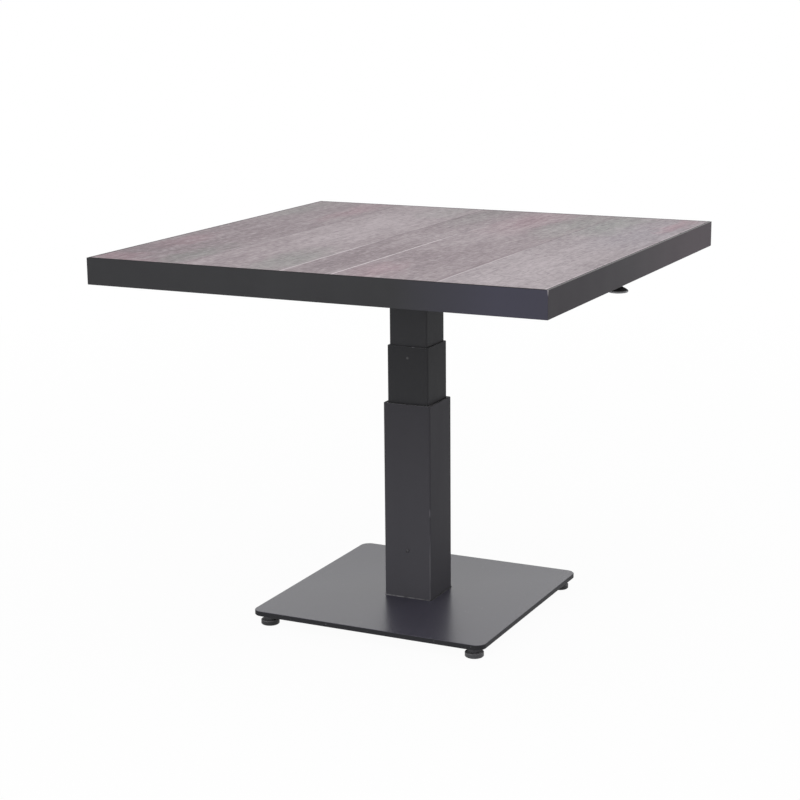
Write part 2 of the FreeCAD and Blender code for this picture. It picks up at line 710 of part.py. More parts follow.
def piston():
    """Piston with a seal groove round its middle."""
    radius = CYLINDER_RADIUS - CYLINDER_WALL - PISTON_FIT
    groove = radius - PISTON_GROOVE
    third = PISTON_HEIGHT / 3
    return revolved(
        [
            (ROD_RADIUS, piston_bottom),
            (radius, piston_bottom),
            (radius, piston_bottom + third),
            (groove, piston_bottom + third),
            (groove, piston_top - third),
            (radius, piston_top - third),
            (radius, piston_top),
            (ROD_RADIUS, piston_top),
        ]
    )


def piston_seal():
    """Rubber ring in the piston's groove, which rubs on the cylinder's bore."""
    outside = CYLINDER_RADIUS - CYLINDER_WALL - RUNNING_FIT
    inside = CYLINDER_RADIUS - CYLINDER_WALL - PISTON_FIT - PISTON_GROOVE
    third = PISTON_HEIGHT / 3
    low = piston_bottom + third + PISTON_SEAL_GAP
    high = piston_top - third - PISTON_SEAL_GAP
    return revolved([(inside, low), (outside, low), (outside, high), (inside, high)])


def piston_rod():
    """Chromed rod, bored from the top for the release pin."""
    bore = PIN_RADIUS + RUNNING_FIT
    bore_low = pin_top - PIN_LENGTH - PIN_BORE_SPARE
    return revolved(
        [
            (0, piston_bottom),
            (ROD_RADIUS, piston_bottom),
            (ROD_RADIUS, rod_top - ROD_CHAMFER),
            (ROD_RADIUS - ROD_CHAMFER, rod_top),
            (bore, rod_top),
            (bore, bore_low),
            (0, bore_low),
        ]
    )


def release_pin():
    """Valve pin that unlocks the gas spring when the rocker presses it."""
    low = pin_top - PIN_LENGTH
    return revolved(
        [
            (0, low),
            (PIN_RADIUS, low),
            (PIN_RADIUS, pin_top - PIN_CHAMFER),
            (PIN_RADIUS - PIN_CHAMFER, pin_top),
            (0, pin_top),
        ]
    )


# ---------------------------------------------------------------- column head
def rod_bridge():
    """Plate welded across the inner tube, which the gas spring pushes up."""
    plate = square_bar(inner_bore, INNER_RADIUS - INNER_WALL, bridge_bottom, bridge_top)
    holes = [(CENTRE, ROD_RADIUS + RUNNING_FIT)]
    for place in square_places(BRIDGE_VENT_SPACING):
        holes.append((place, BRIDGE_VENT_RADIUS))
    for place, radius in holes:
        start = place + Vector(0, 0, bridge_bottom)
        plate = plate.cut(Part.makeCylinder(radius, BRIDGE_THICKNESS, start))
    return plate


def rod_nuts():
    bore = ROD_RADIUS + RUNNING_FIT
    upper = nut(NUT_FLATS, bore, bridge_top, bridge_top + UPPER_NUT_HEIGHT, CENTRE)
    lower = nut(NUT_FLATS, bore, bridge_bottom - LOWER_NUT_HEIGHT, bridge_bottom, CENTRE)
    return [upper, lower]


def mount_plate():
    """Plate welded on the inner tube, bolted up to the two support beams."""
    plate = square_bar(MOUNT_PLATE_SIDE, MOUNT_PLATE_RADIUS, column_top, beam_bottom)
    plate = plate.makeChamfer(EDGE_BREAK, rim_edges(plate, column_top))
    holes = [(CENTRE, MOUNT_PLATE_HOLE_RADIUS)]
    for place in square_places(MOUNT_BOLT_SPACING):
        holes.append((place, MOUNT_BOLT_RADIUS + MOUNT_BOLT_CLEARANCE))
    for place, radius in holes:
        start = place + Vector(0, 0, column_top)
        plate = plate.cut(Part.makeCylinder(radius, MOUNT_PLATE_THICKNESS, start))
    return plate


def head_bead():
    """Weld bead between the column and the mount plate, broken at the rocker's slot."""
    bead = weld_bead(INNER_SIDE, INNER_RADIUS, column_top, column_top - HEAD_BEAD)
    return bead.cut(rocker_slot())


def mount_bolts():
    bolts = []
    head_top = column_top - MOUNT_WASHER_THICKNESS
    head_low = head_top - MOUNT_BOLT_HEAD_HEIGHT
    tip = beam_bottom + BEAM_WALL + WELD_NUT_HEIGHT + MOUNT_BOLT_END
    for place in square_places(MOUNT_BOLT_SPACING):
        head = nut(MOUNT_BOLT_FLATS, MOUNT_BOLT_RADIUS, head_low, head_top, place)
        start = place + Vector(0, 0, head_low)
        shank = rod_along(MOUNT_BOLT_RADIUS, start, place + Vector(0, 0, tip))
        bolts.append(head.fuse(shank).removeSplitter())
    return bolts


def mount_washers():
    """Plain washers between the bolt heads and the mount plate."""
    low = column_top - MOUNT_WASHER_THICKNESS
    bore = MOUNT_BOLT_RADIUS + MOUNT_BOLT_CLEARANCE
    washers = []
    for place in square_places(MOUNT_BOLT_SPACING):
        ring = [(bore, low), (MOUNT_WASHER_RADIUS, low)]
        ring += [(MOUNT_WASHER_RADIUS, column_top), (bore, column_top)]
        washers.append(revolved(ring, place))
    return washers


def weld_nuts():
    """Plain hexagon nuts welded inside the support beams."""
    low = beam_bottom + BEAM_WALL
    high = low + WELD_NUT_HEIGHT
    nuts = []
    for place in square_places(MOUNT_BOLT_SPACING):
        start = place + Vector(0, 0, low)
        end = place + Vector(0, 0, high)
        bar = hexagon_bar(MOUNT_BOLT_FLATS, low, high, place)
        nuts.append(bar.cut(rod_along(MOUNT_BOLT_RADIUS + RUNNING_FIT, start, end)))
    return nuts


def support_beam(side):
    """Flat tube from the front frame bar to the back one, under the panel."""
    outline = rounded_rectangle(BEAM_WIDTH, BEAM_HEIGHT, BEAM_RADIUS, 0)
    hollow = rounded_rectangle(
        BEAM_WIDTH - 2 * BEAM_WALL, BEAM_HEIGHT - 2 * BEAM_WALL, BEAM_RADIUS / 2, 0
    )
    length = 2 * frame_inside
    beam = Part.Face(outline).extrude(Vector(0, 0, length))
    beam = beam.cut(Part.Face(hollow).extrude(Vector(0, 0, length)))
    beam = beam.rotated(CENTRE, X_AXIS, -90)
    x = side * MOUNT_BOLT_SPACING / 2
    beam = beam.translated(Vector(x, -frame_inside, beam_bottom + BEAM_HEIGHT / 2))
    for place in square_places(MOUNT_BOLT_SPACING):
        start = place + Vector(0, 0, beam_bottom)
        beam = beam.cut(Part.makeCylinder(MOUNT_BOLT_RADIUS + RUNNING_FIT, BEAM_WALL, start))
    return beam


# ---------------------------------------------------------------- framed top
def mitre_wedge():
    """Triangle of the table's plan that belongs to the front frame bar."""
    half = TABLE_SIDE / 2
    corners = [Vector(-half, -half, 0), Vector(half, -half, 0), CENTRE, Vector(-half, -half, 0)]
    return Part.Face(Part.makePolygon(corners)).extrude(Vector(0, 0, TABLE_HEIGHT))


def frame_bar():
    """Front frame bar: a hollow extrusion whose outer wall stands up as a lip."""
    half = TABLE_SIDE / 2
    section = [
        (-half, frame_bottom),
        (-frame_inside, frame_bottom),
        (-frame_inside, panel_bottom),
        (-half + FRAME_WALL, panel_bottom),
        (-half + FRAME_WALL, TABLE_HEIGHT),
        (-half, TABLE_HEIGHT),
    ]
    outline = Part.makePolygon([Vector(-half, y, z) for y, z in section + section[:1]])
    bar = Part.Face(outline).extrude(Vector(TABLE_SIDE, 0, 0))
    rims = rim_edges(bar, frame_bottom) + rim_edges(bar, TABLE_HEIGHT)
    outside = [edge for edge in rims if abs(edge.CenterOfMass.y + half) < FACE_TOLERANCE]
    bar = bar.makeFillet(FRAME_EDGE_RADIUS, outside)
    hollow = box_between(
        (-half, -half + FRAME_WALL, frame_bottom + FRAME_WALL),
        (half, -frame_inside - FRAME_WALL, panel_bottom - FRAME_WALL),
    )
    bar = bar.cut(hollow).common(mitre_wedge())
    for x in (-BRACKET_OFFSET, BRACKET_OFFSET):
        start = Vector(x, -frame_inside, rivet_height())
        end = start - Vector(0, FRAME_WALL, 0)
        bar = bar.cut(rod_along(RIVET_RADIUS + RUNNING_FIT, start, end))
    return bar


def rivet_height():
    """Height of the rivet in the bracket's upright leg."""
    return panel_bottom - BRACKET_HOLE


def corner_cleat():
    """Cast angle that joins two frame bars, with a window in each leg."""
    inset = FRAME_WALL + CLEAT_GAP
    width = FRAME_WIDTH - 2 * inset
    low = frame_bottom + inset
    height = panel_bottom - frame_bottom - 2 * inset
    corner = Vector(-TABLE_SIDE / 2 + inset, -TABLE_SIDE / 2 + inset, low)
    plan = [(0, 0), (CLEAT_LEG, 0), (CLEAT_LEG, width), (width, width), (width, CLEAT_LEG)]
    plan += [(0, CLEAT_LEG), (0, 0)]
    outline = Part.makePolygon([corner + Vector(x, y, 0) for x, y in plan])
    cleat = Part.Face(outline).extrude(Vector(0, 0, height))
    margin = (CLEAT_LEG - width - CLEAT_WINDOW) / 2
    start = width + margin
    for spans in (
        ((start, 0), (start + CLEAT_WINDOW, width)),
        ((0, start), (width, start + CLEAT_WINDOW)),
    ):
        low_corner = corner + Vector(*spans[0], margin / 2)
        high_corner = corner + Vector(*spans[1], height - margin / 2)
        cleat = cleat.cut(box_between(low_corner, high_corner))
    return cleat


def top_panel():
    """Laminate board with shallow grooves between its printed planks."""
    side = TABLE_SIDE - 2 * (FRAME_WALL + PANEL_GAP)
    half = side / 2
    panel = box_between((-half, -half, panel_bottom), (half, half, TABLE_HEIGHT))
    panel = panel.makeChamfer(PANEL_EDGE_BREAK, rim_edges(panel, TABLE_HEIGHT))
    outer_joint = NARROW_PLANK / 2 + WIDE_PLANK
    for x in (-outer_joint, -NARROW_PLANK / 2, NARROW_PLANK / 2, outer_joint):
        panel = panel.cut(plank_groove(x, half))
    for screw in bracket_places():
        depth = PANEL_SCREW_BITE + PANEL_SCREW_HOLE_SPARE
        hole = Part.makeCylinder(PANEL_SCREW_RADIUS + RUNNING_FIT, depth, screw)
        panel = panel.cut(hole)
    return panel


def plank_groove(x, half_length):
    """V-shaped cutter that runs the whole depth of the panel."""
    points = [
        Vector(x - GROOVE_WIDTH / 2, -half_length, TABLE_HEIGHT),
        Vector(x, -half_length, TABLE_HEIGHT - GROOVE_DEPTH),
        Vector(x + GROOVE_WIDTH / 2, -half_length, TABLE_HEIGHT),
    ]
    outline = Part.makePolygon(points + points[:1])
    return Part.Face(outline).extrude(Vector(0, 2 * half_length, 0))


def bracket_places():
    """Screw centres on the panel's underside, two to each frame bar."""
    y = -frame_inside + BRACKET_HOLE
    places = []
    for turn in range(4):
        turned = FreeCAD.Rotation(Z_AXIS, 90 * turn)
        for x in (-BRACKET_OFFSET, BRACKET_OFFSET):
            places.append(turned.multVec(Vector(x, y, 0)) + Vector(0, 0, panel_bottom))
    return places


def panel_brackets():
    """Folded angles, riveted to the frame and screwed to the panel."""
    brackets = []
    for x in (-BRACKET_OFFSET, BRACKET_OFFSET):
        inside = -frame_inside
        section = [
            (inside, panel_bottom),
            (inside + BRACKET_LEG, panel_bottom),
            (inside + BRACKET_LEG, panel_bottom - BRACKET_THICKNESS),
            (inside + BRACKET_THICKNESS, panel_bottom - BRACKET_THICKNESS),
            (inside + BRACKET_THICKNESS, panel_bottom - BRACKET_LEG),
            (inside, panel_bottom - BRACKET_LEG),
        ]
        left = x - BRACKET_WIDTH / 2
        outline = Part.makePolygon([Vector(left, y, z) for y, z in section + section[:1]])
        bracket = Part.Face(outline).extrude(Vector(BRACKET_WIDTH, 0, 0))
        bracket = folded(bracket, BRACKET_THICKNESS, section[0], section[3])
        upright = Vector(x, inside, rivet_height())
        across = Vector(0, BRACKET_THICKNESS, 0)
        bracket = bracket.cut(rod_along(RIVET_RADIUS + RUNNING_FIT, upright, upright + across))
        screw = Vector(x, inside + BRACKET_HOLE, panel_bottom - BRACKET_THICKNESS)
        hole = Part.makeCylinder(PANEL_SCREW_RADIUS + RUNNING_FIT, BRACKET_THICKNESS, screw)
        brackets += quarter_turns(bracket.cut(hole))
    return brackets


def panel_screws():
    """Flat-headed screws up through the brackets into the panel."""
    head_top = panel_bottom - BRACKET_THICKNESS
    screws = []
    for place in bracket_places():
        axis = Vector(place.x, place.y, 0)
        seat = axis + Vector(0, 0, head_top)
        under = seat - Vector(0, 0, PANEL_SCREW_HEAD_HEIGHT)
        tip = axis + Vector(0, 0, panel_bottom + PANEL_SCREW_BITE)
        head = rod_along(PANEL_SCREW_HEAD_RADIUS, under, seat)
        screws.append(head.fuse(rod_along(PANEL_SCREW_RADIUS, under, tip)).removeSplitter())
    return screws


def bracket_rivets():
    rivets = []
    for x in (-BRACKET_OFFSET, BRACKET_OFFSET):
        face = Vector(x, -frame_inside + BRACKET_THICKNESS, rivet_height())
        tail = Vector(x, -frame_inside - FRAME_WALL - RIVET_TAIL, rivet_height())
        head = Part.makeCone(
            RIVET_HEAD_RADIUS, RIVET_CROWN_RADIUS, RIVET_HEAD_HEIGHT, face, Y_AXIS
        )
        rivet = head.fuse(rod_along(RIVET_RADIUS, tail, face)).removeSplitter()
        rivets += quarter_turns(rivet)
    return rivets


# ---------------------------------------------------------------- release lever
def lever_bracket():
    """Folded bracket under the mount plate, with an ear on each side of the rocker."""
    inside = ROCKER_WIDTH / 2 + LEVER_BRACKET_GAP
    outside = inside + LEVER_BRACKET_THICKNESS
    left = LEVER_PIVOT_X - LEVER_BRACKET_LENGTH / 2
    right = LEVER_PIVOT_X + LEVER_BRACKET_LENGTH / 2
    web_low = column_top - LEVER_BRACKET_THICKNESS
    bracket = box_between((left, -outside, web_low), (right, outside, column_top))
    for side in (-1, 1):
        bracket = bracket.fuse(lever_ear(left, right, side * inside, side * outside))
    start = Vector(LEVER_PIVOT_X, -outside, lever_z)
    end = Vector(LEVER_PIVOT_X, outside, lever_z)
    bracket = bracket.removeSplitter()
    for side in (-1, 1):
        outer, inner = (side * outside, column_top), (side * inside, web_low)
        bracket = folded(bracket, LEVER_BRACKET_THICKNESS, outer, inner)
    return bracket.cut(rod_along(PIVOT_PIN_RADIUS + RUNNING_FIT, start, end))


def lever_ear(left, right, near, far):
    """One ear, tapering from the web to a round end about the pivot."""
    radius = LEVER_BRACKET_EAR_RADIUS
    half = sin(radians(45)) * radius
    points = [
        Vector(left, near, column_top),
        Vector(LEVER_PIVOT_X - radius, near, lever_z),
        Vector(LEVER_PIVOT_X - half, near, lever_z - half),
        Vector(LEVER_PIVOT_X, near, lever_z - radius),
        Vector(LEVER_PIVOT_X + half, near, lever_z - half),
        Vector(LEVER_PIVOT_X + radius, near, lever_z),
        Vector(right, near, column_top),
    ]
    edges = [
        Part.makeLine(points[0], points[1]),
        Part.Arc(points[1], points[3], points[5]).toShape(),
        Part.makeLine(points[5], points[6]),
        Part.makeLine(points[6], points[0]),
    ]
    return Part.Face(Part.Wire(edges)).extrude(Vector(0, far - near, 0))


def lever_pivot_pin():
    """Pin through both ears and the rocker, headed at each end."""
    outside = ROCKER_WIDTH / 2 + LEVER_BRACKET_GAP + LEVER_BRACKET_THICKNESS
    start = Vector(LEVER_PIVOT_X, -outside, lever_z)
    end = Vector(LEVER_PIVOT_X, outside, lever_z)
    pin = rod_along(PIVOT_PIN_RADIUS, start, end)
    for face, way in ((start, -1), (end, 1)):
        tip = face + Vector(0, way * PIVOT_PIN_HEAD_HEIGHT, 0)
        pin = pin.fuse(rod_along(PIVOT_PIN_HEAD_RADIUS, face, tip))
    return pin.removeSplitter()


def lever_rocker():
    """Cast rocker: a nose over the release pin, a pivot hub and a socket for the rod."""
    half = ROCKER_NOSE_WIDTH / 2
    radius = ROCKER_NOSE_RADIUS
    points = [
        Vector(0, -half, lever_z + radius),
        Vector(-radius, -half, lever_z),
        Vector(0, -half, lever_z - radius),
        Vector(LEVER_PIVOT_X, -half, lever_z - radius),
        Vector(LEVER_PIVOT_X, -half, lever_z + radius),
    ]
    edges = [Part.Arc(*points[:3]).toShape()]
    for start, end in ((2, 3), (3, 4), (4, 0)):
        edges.append(Part.makeLine(points[start], points[end]))
    nose = Part.Face(Part.Wire(edges)).extrude(Vector(0, ROCKER_NOSE_WIDTH, 0))
    hub_start = Vector(LEVER_PIVOT_X, -ROCKER_WIDTH / 2, lever_z)
    hub_end = Vector(LEVER_PIVOT_X, ROCKER_WIDTH / 2, lever_z)
    hub = rod_along(ROCKER_HUB_RADIUS, hub_start, hub_end)
    socket_end = LEVER_PIVOT_X + ROCKER_SOCKET_REACH
    socket = rod_along(
        ROCKER_SOCKET_RADIUS, Vector(LEVER_PIVOT_X, 0, lever_z), Vector(socket_end, 0, lever_z)
    )
    rod_bore = rod_along(
        LEVER_ROD_RADIUS + RUNNING_FIT,
        Vector(socket_end - ROCKER_SOCKET_DEPTH, 0, lever_z),
        Vector(socket_end, 0, lever_z),
    )
    pivot_bore = rod_along(PIVOT_PIN_RADIUS + RUNNING_FIT, hub_start, hub_end)
    rocker = nose.fuse(hub).fuse(socket).removeSplitter()
    return rocker.cut(rod_bore).cut(pivot_bore)


def lever_rod():
    """Steel rod from the rocker out under the top, bent down at the knob."""
    start = Vector(LEVER_PIVOT_X + ROCKER_SOCKET_REACH - ROCKER_SOCKET_DEPTH, 0, lever_z)
    bend_start = Vector(KNOB_X - LEVER_BEND_RADIUS, 0, lever_z)
    bend_centre = bend_start - Vector(0, 0, LEVER_BEND_RADIUS)
    bend_end = Vector(KNOB_X, 0, lever_z - LEVER_BEND_RADIUS)
    end = Vector(KNOB_X, 0, knob_neck_top() - KNOB_BORE_DEPTH)
    section = Part.Face(Part.Wire(Part.makeCircle(LEVER_ROD_RADIUS, bend_start, X_AXIS)))
    bend = section.revolve(bend_centre, Y_AXIS, 90)
    straight = rod_along(LEVER_ROD_RADIUS, start, bend_start)
    return straight.fuse(bend).fuse(rod_along(LEVER_ROD_RADIUS, bend_end, end)).removeSplitter()


def knob_rim_top():
    return frame_bottom - KNOB_BELOW_FRAME + KNOB_BOTTOM_CROWN + 2 * KNOB_RIM_RADIUS


def knob_neck_top():
    return knob_rim_top() + KNOB_CROWN_HEIGHT + KNOB_NECK_HEIGHT


def release_knob():
    """Moulded mushroom knob, crowned above its rounded rim, on the end of the rod."""
    bottom = frame_bottom - KNOB_BELOW_FRAME
    rim_low = bottom + KNOB_BOTTOM_CROWN
    rim_top = knob_rim_top()
    rim_in = KNOB_RADIUS - KNOB_RIM_RADIUS
    neck_top = knob_neck_top()
    bore = LEVER_ROD_RADIUS + RUNNING_FIT
    rim = Part.Arc(
        Vector(rim_in, 0, rim_low),
        Vector(KNOB_RADIUS, 0, rim_low + KNOB_RIM_RADIUS),
        Vector(rim_in, 0, rim_top),
    )
    crown_top = rim_top + KNOB_CROWN_HEIGHT
    slope_middle = Vector((rim_in + KNOB_NECK_RADIUS) / 2, 0, (rim_top + crown_top) / 2)
    outward = Vector(crown_top - rim_top, 0, rim_in - KNOB_NECK_RADIUS).normalize()
    crown = Part.Arc(
        Vector(rim_in, 0, rim_top),
        slope_middle + outward * KNOB_CROWN_SWELL,
        Vector(KNOB_NECK_RADIUS, 0, crown_top),
    )
    corners = [
        Vector(KNOB_NECK_RADIUS, 0, crown_top),
        Vector(KNOB_NECK_RADIUS - KNOB_NECK_TAPER, 0, neck_top),
        Vector(bore, 0, neck_top),
        Vector(bore, 0, neck_top - KNOB_BORE_DEPTH),
        Vector(0, 0, neck_top - KNOB_BORE_DEPTH),
        Vector(0, 0, bottom),
        Vector(rim_in - KNOB_BOTTOM_BEVEL, 0, bottom),
        Vector(rim_in, 0, rim_low),
    ]
    edges = [rim.toShape(), crown.toShape()]
    for start, end in zip(corners, corners[1:]):
        edges.append(Part.makeLine(start, end))
    solid = Part.Face(Part.Wire(edges)).revolve(CENTRE, Z_AXIS, 360)
    return solid.translated(Vector(KNOB_X, 0, 0))


def lever_buffer():
    """Rubber buffer under the mount plate that the rocker's nose rests against."""
    low = lever_z + ROCKER_NOSE_RADIUS + STOP_GAP
    return rod_along(
        LEVER_BUFFER_RADIUS,
        Vector(LEVER_BUFFER_X, 0, low),
        Vector(LEVER_BUFFER_X, 0, column_top),
    )


# ---------------------------------------------------------------- write the parts
os.makedirs("parts", exist_ok=True)

save("base_plate", base_plate())
save("foot_bosses", *foot_bosses())
save_feet()
save("column_foot_plate", column_foot_plate())
save("column_bolts", *column_bolts())
save("outer_tube", outer_tube())
save("foot_bead", foot_bead())
save("outer_guide_sleeve", outer_guide_sleeve())
save("stop_screws", *stop_screws())
save("stop_rollers", *stop_rollers())
save("landing_bumper", landing_bumper())
save("gas_cylinder", gas_cylinder())
save("cylinder_gland", cylinder_gland())

save("middle_tube", middle_tube())
save("middle_guide_sleeve", middle_guide_sleeve())
save("middle_lower_sleeve", middle_lower_sleeve())

save("inner_tube", inner_tube())
save("inner_lower_sleeve", inner_lower_sleeve())
save("piston", piston())
save("piston_seal", piston_seal())
save("piston_rod", piston_rod())
save("rod_bridge", rod_bridge())
save("rod_nuts", *rod_nuts())
save("mount_plate", mount_plate())
save("head_bead", head_bead())
save("mount_bolts", *mount_bolts())
save("mount_washers", *mount_washers())
save("weld_nuts", *weld_nuts())
save("left_support_beam", support_beam(-1))
save("right_support_beam", support_beam(1))
for bar_name, bar in zip(("front", "right", "back", "left"), quarter_turns(frame_bar())):
    save(f"{bar_name}_frame_bar", bar)
save("corner_cleats", *quarter_turns(corner_cleat()))
save("top_panel", top_panel())
save("panel_brackets", *panel_brackets())
save("panel_screws", *panel_screws())
save("bracket_rivets", *bracket_rivets())

save("lever_bracket", lever_bracket())
save("lever_pivot_pin", lever_pivot_pin())
save("lever_buffer", lever_buffer())
save("lever_rocker", lever_rocker())
save("lever_rod", lever_rod())
save("release_knob", release_knob())
save("release_pin", release_pin())
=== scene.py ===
from math import atan2, ceil, copysign, cos, hypot, pi, radians, sin, sqrt, tau

import bmesh
import bpy
from mathutils import Matrix, Vector, noise


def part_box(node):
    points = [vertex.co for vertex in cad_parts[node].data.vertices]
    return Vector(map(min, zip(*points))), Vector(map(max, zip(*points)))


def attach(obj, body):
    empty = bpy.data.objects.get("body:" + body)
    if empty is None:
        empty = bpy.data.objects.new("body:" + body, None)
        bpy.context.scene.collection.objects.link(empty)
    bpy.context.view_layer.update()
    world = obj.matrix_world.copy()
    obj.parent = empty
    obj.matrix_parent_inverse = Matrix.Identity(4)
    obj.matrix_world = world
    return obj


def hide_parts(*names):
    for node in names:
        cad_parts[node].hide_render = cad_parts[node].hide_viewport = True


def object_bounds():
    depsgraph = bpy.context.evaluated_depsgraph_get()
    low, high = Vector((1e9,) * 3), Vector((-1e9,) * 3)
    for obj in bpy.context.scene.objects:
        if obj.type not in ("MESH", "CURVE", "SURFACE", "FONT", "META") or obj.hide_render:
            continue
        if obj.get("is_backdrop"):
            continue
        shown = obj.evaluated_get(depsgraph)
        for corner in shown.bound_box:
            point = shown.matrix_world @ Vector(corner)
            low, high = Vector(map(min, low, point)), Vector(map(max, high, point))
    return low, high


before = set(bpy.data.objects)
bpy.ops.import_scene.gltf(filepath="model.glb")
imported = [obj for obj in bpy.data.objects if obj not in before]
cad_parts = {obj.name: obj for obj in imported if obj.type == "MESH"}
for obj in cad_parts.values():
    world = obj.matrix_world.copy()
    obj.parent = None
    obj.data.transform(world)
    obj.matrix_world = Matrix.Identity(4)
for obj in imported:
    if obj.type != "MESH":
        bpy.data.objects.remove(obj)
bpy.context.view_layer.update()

# ---------------------------------------------------------------- base plate
# The table stands on a plate of 10 mm steel with rounded corners, and four threaded
# bosses are welded under it. Both are powder coated. On the plate's flat top the powder
# flowed to a soft gloss.


class Value:
    """What a node of a finish gives out. Arithmetic on it adds Math nodes."""

    def __init__(self, finish, socket):
        self.finish = finish
        self.socket = socket

    def __add__(self, other):
        return self.finish.math("ADD", self, other)

    def __sub__(self, other):
        return self.finish.math("SUBTRACT", self, other)

    def __rsub__(self, other):
        return self.finish.math("SUBTRACT", other, self)

    def __mul__(self, other):
        return self.finish.math("MULTIPLY", self, other)

    def __abs__(self):
        return self.finish.math("ABSOLUTE", self)

    def __gt__(self, other):
        return self.finish.math("GREATER_THAN", self, other)

    __radd__ = __add__
    __rmul__ = __mul__


class Finish:
    """A surface finish as a node material, on Object coordinates in metres."""

    def __init__(self, name, kind=bpy.data.materials):
        self.block = kind.new(name)
        self.block.use_nodes = True
        self.tree = self.block.node_tree
        self.tree.nodes.clear()

    def node(self, kind, settings=None, sockets=None, output=0):
        """Add a node: its settings first, then the values or links of its sockets."""
        made = self.tree.nodes.new(kind)
        for name, value in (settings or {}).items():
            setattr(made, name, value)
        for name, value in (sockets or {}).items():
            if isinstance(value, Value):
                self.tree.links.new(value.socket, made.inputs[name])
            else:
                made.inputs[name].default_value = value
        return Value(self, made.outputs[output]) if made.outputs else None

    def math(self, operation, left, right=0.0):
        """A number worked out from one or two others."""
        return self.node("ShaderNodeMath", {"operation": operation}, {0: left, 1: right})

    @property
    def place(self):
        """Where a point is on the table."""
        return self.node("ShaderNodeTexCoord", output="Object")

    def axis(self, name):
        """One coordinate of the place: X to the right, Y to the back or Z up."""
        return self.node("ShaderNodeSeparateXYZ", {}, {"Vector": self.place}, output=name)

    def grain(self, *sizes, detail=2.0, roughness=0.5, place=None, seed=0.0):
        """Noise with features about as large as one size, or as three along the axes."""
        if len(sizes) == 1:
            sizes *= 3
        sockets = {
            "Vector": place or self.place,
            "Location": (seed, seed, seed),
            "Scale": [1 / size for size in sizes],
        }
        spot = self.node("ShaderNodeMapping", {}, sockets)
        sockets = {"Vector": spot, "Scale": 1.0, "Detail": detail, "Roughness": roughness}
        return self.node("ShaderNodeTexNoise", {}, sockets)

    def span(self, value, low, high, start=0.0, end=1.0):
        """Take a value's range from low to high on to another, held at its ends."""
        sockets = {
            "Value": value,
            "From Min": low,
            "From Max": high,
            "To Min": start,
            "To Max": end,
        }
        return self.node("ShaderNodeMapRange", {}, sockets)

    def mix(self, amount, first, second):
        """A colour between two. A Mix node has its colours at sockets 6, 7 and output 2."""
        sockets = {0: amount, 6: first, 7: second}
        return self.node("ShaderNodeMix", {"data_type": "RGBA"}, sockets, output=2)

    def reach(self, place, centre, size):
        """How far a place is from a centre, as a share of a size along each axis."""
        sockets = {"Vector": place, "Location": centre, "Scale": size}
        away = self.node("ShaderNodeMapping", {"vector_type": "TEXTURE"}, sockets)
        return self.node("ShaderNodeVectorMath", {"operation": "LENGTH"}, {0: away}, output=1)

    def moved(self, place, offset):
        """A place with an offset added."""
        return self.node("ShaderNodeVectorMath", {"operation": "ADD"}, {0: place, 1: offset})

    def relief(self, height, depth):
        """The normal of a skin whose height goes from 0 to 1 over a depth in metres."""
        return self.node("ShaderNodeBump", {}, {"Height": height, "Distance": depth})

    def lay(self, **sockets):
        """End the finish in its shader, whose sockets are named with underscores."""
        named = {name.replace("_", " "): value for name, value in sockets.items()}
        surface = self.node("ShaderNodeBsdfPrincipled", {}, named)
        self.node("ShaderNodeOutputMaterial", {}, {"Surface": surface})


def paint(red, green, blue):
    """A colour from a paint chart, 0 to 255, as the linear light that shaders use."""
    parts = [part / 255 for part in (red, green, blue)]
    parts = [c / 12.92 if c <= 0.04045 else ((c + 0.055) / 1.055) ** 2.4 for c in parts]
    return (*parts, 1.0)


peel_depth = 0.00003


def powder_skin(coat, peel=0.0012):
    """The orange peel of baked powder, and its tone, which drifts between 0 and 1."""
    skin = coat.grain(peel, detail=3, roughness=0.6)
    tone = coat.span(coat.grain(0.09, detail=4) + skin, 0.7, 1.3)
    return skin, tone


def nibbed(coat, skin):
    """The relief of a powder skin with a few nibs of dust baked in."""
    nibs = coat.span(coat.grain(0.004, detail=0), 0.8, 0.9)
    return coat.relief(skin + nibs * 2, peel_depth)


def powder_coat(name, dark, light, rough, shine, peel=0.0012):
    """Sprayed and baked powder of one colour, a little clouded."""
    coat = Finish(name)
    skin, tone = powder_skin(coat, peel)
    coat.lay(
        Base_Color=coat.mix(tone, dark, light),
        Roughness=coat.span(tone, 0, 1, rough - 0.03, rough + 0.03),
        Specular_IOR_Level=shine,
        Normal=nibbed(coat, skin),
    )
    return coat


def plate_coat(top):
    """Graphite powder with pale specks, glossy on the flat top, its edges painted darker as
    shade.
    """
    coat = Finish("base_coat")
    skin, tone = powder_skin(coat)
    flat = coat.span(coat.axis("Z"), top - 0.0008, top - 0.0003)
    specks = coat.grain(0.0022, detail=0) > 0.84
    powder = coat.mix(tone, paint(62, 60, 72), paint(70, 68, 81))
    # Painted shade: every face but the flat top is darkened.
    powder = coat.mix(1 - flat, powder, paint(44, 44, 47))
    to_back_left = coat.axis("Y") - coat.axis("X") * 0.5
    coat.lay(
        Base_Color=coat.mix(specks * 0.5, powder, paint(150, 150, 155)),
        Roughness=coat.span(tone, 0, 1, 0.47, 0.53),
        Specular_IOR_Level=0.1,
        Coat_Weight=flat * coat.span(to_back_left, 0.05, 0.33, 1.0, 0.82),
        Coat_Roughness=0.27,
        Coat_IOR=1.5,
        Normal=nibbed(coat, skin),
    )
    return coat


def wear(finish, *nodes):
    """Put a finish on parts that keep the shape they came with."""
    for node in nodes:
        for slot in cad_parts[node].material_slots:
            slot.material = finish.block


plate_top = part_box("base_plate")[1].z
wear(plate_coat(plate_top), "base_plate")
wear(powder_coat("boss_coat", paint(64, 64, 67), paint(72, 72, 75), 0.55, 0.2), "foot_bosses")

# ---------------------------------------------------------------- column foot
# A thick steel plate is welded in the bottom of the outer tube. Four zinc-plated
# countersunk bolts come up into it through the base plate.


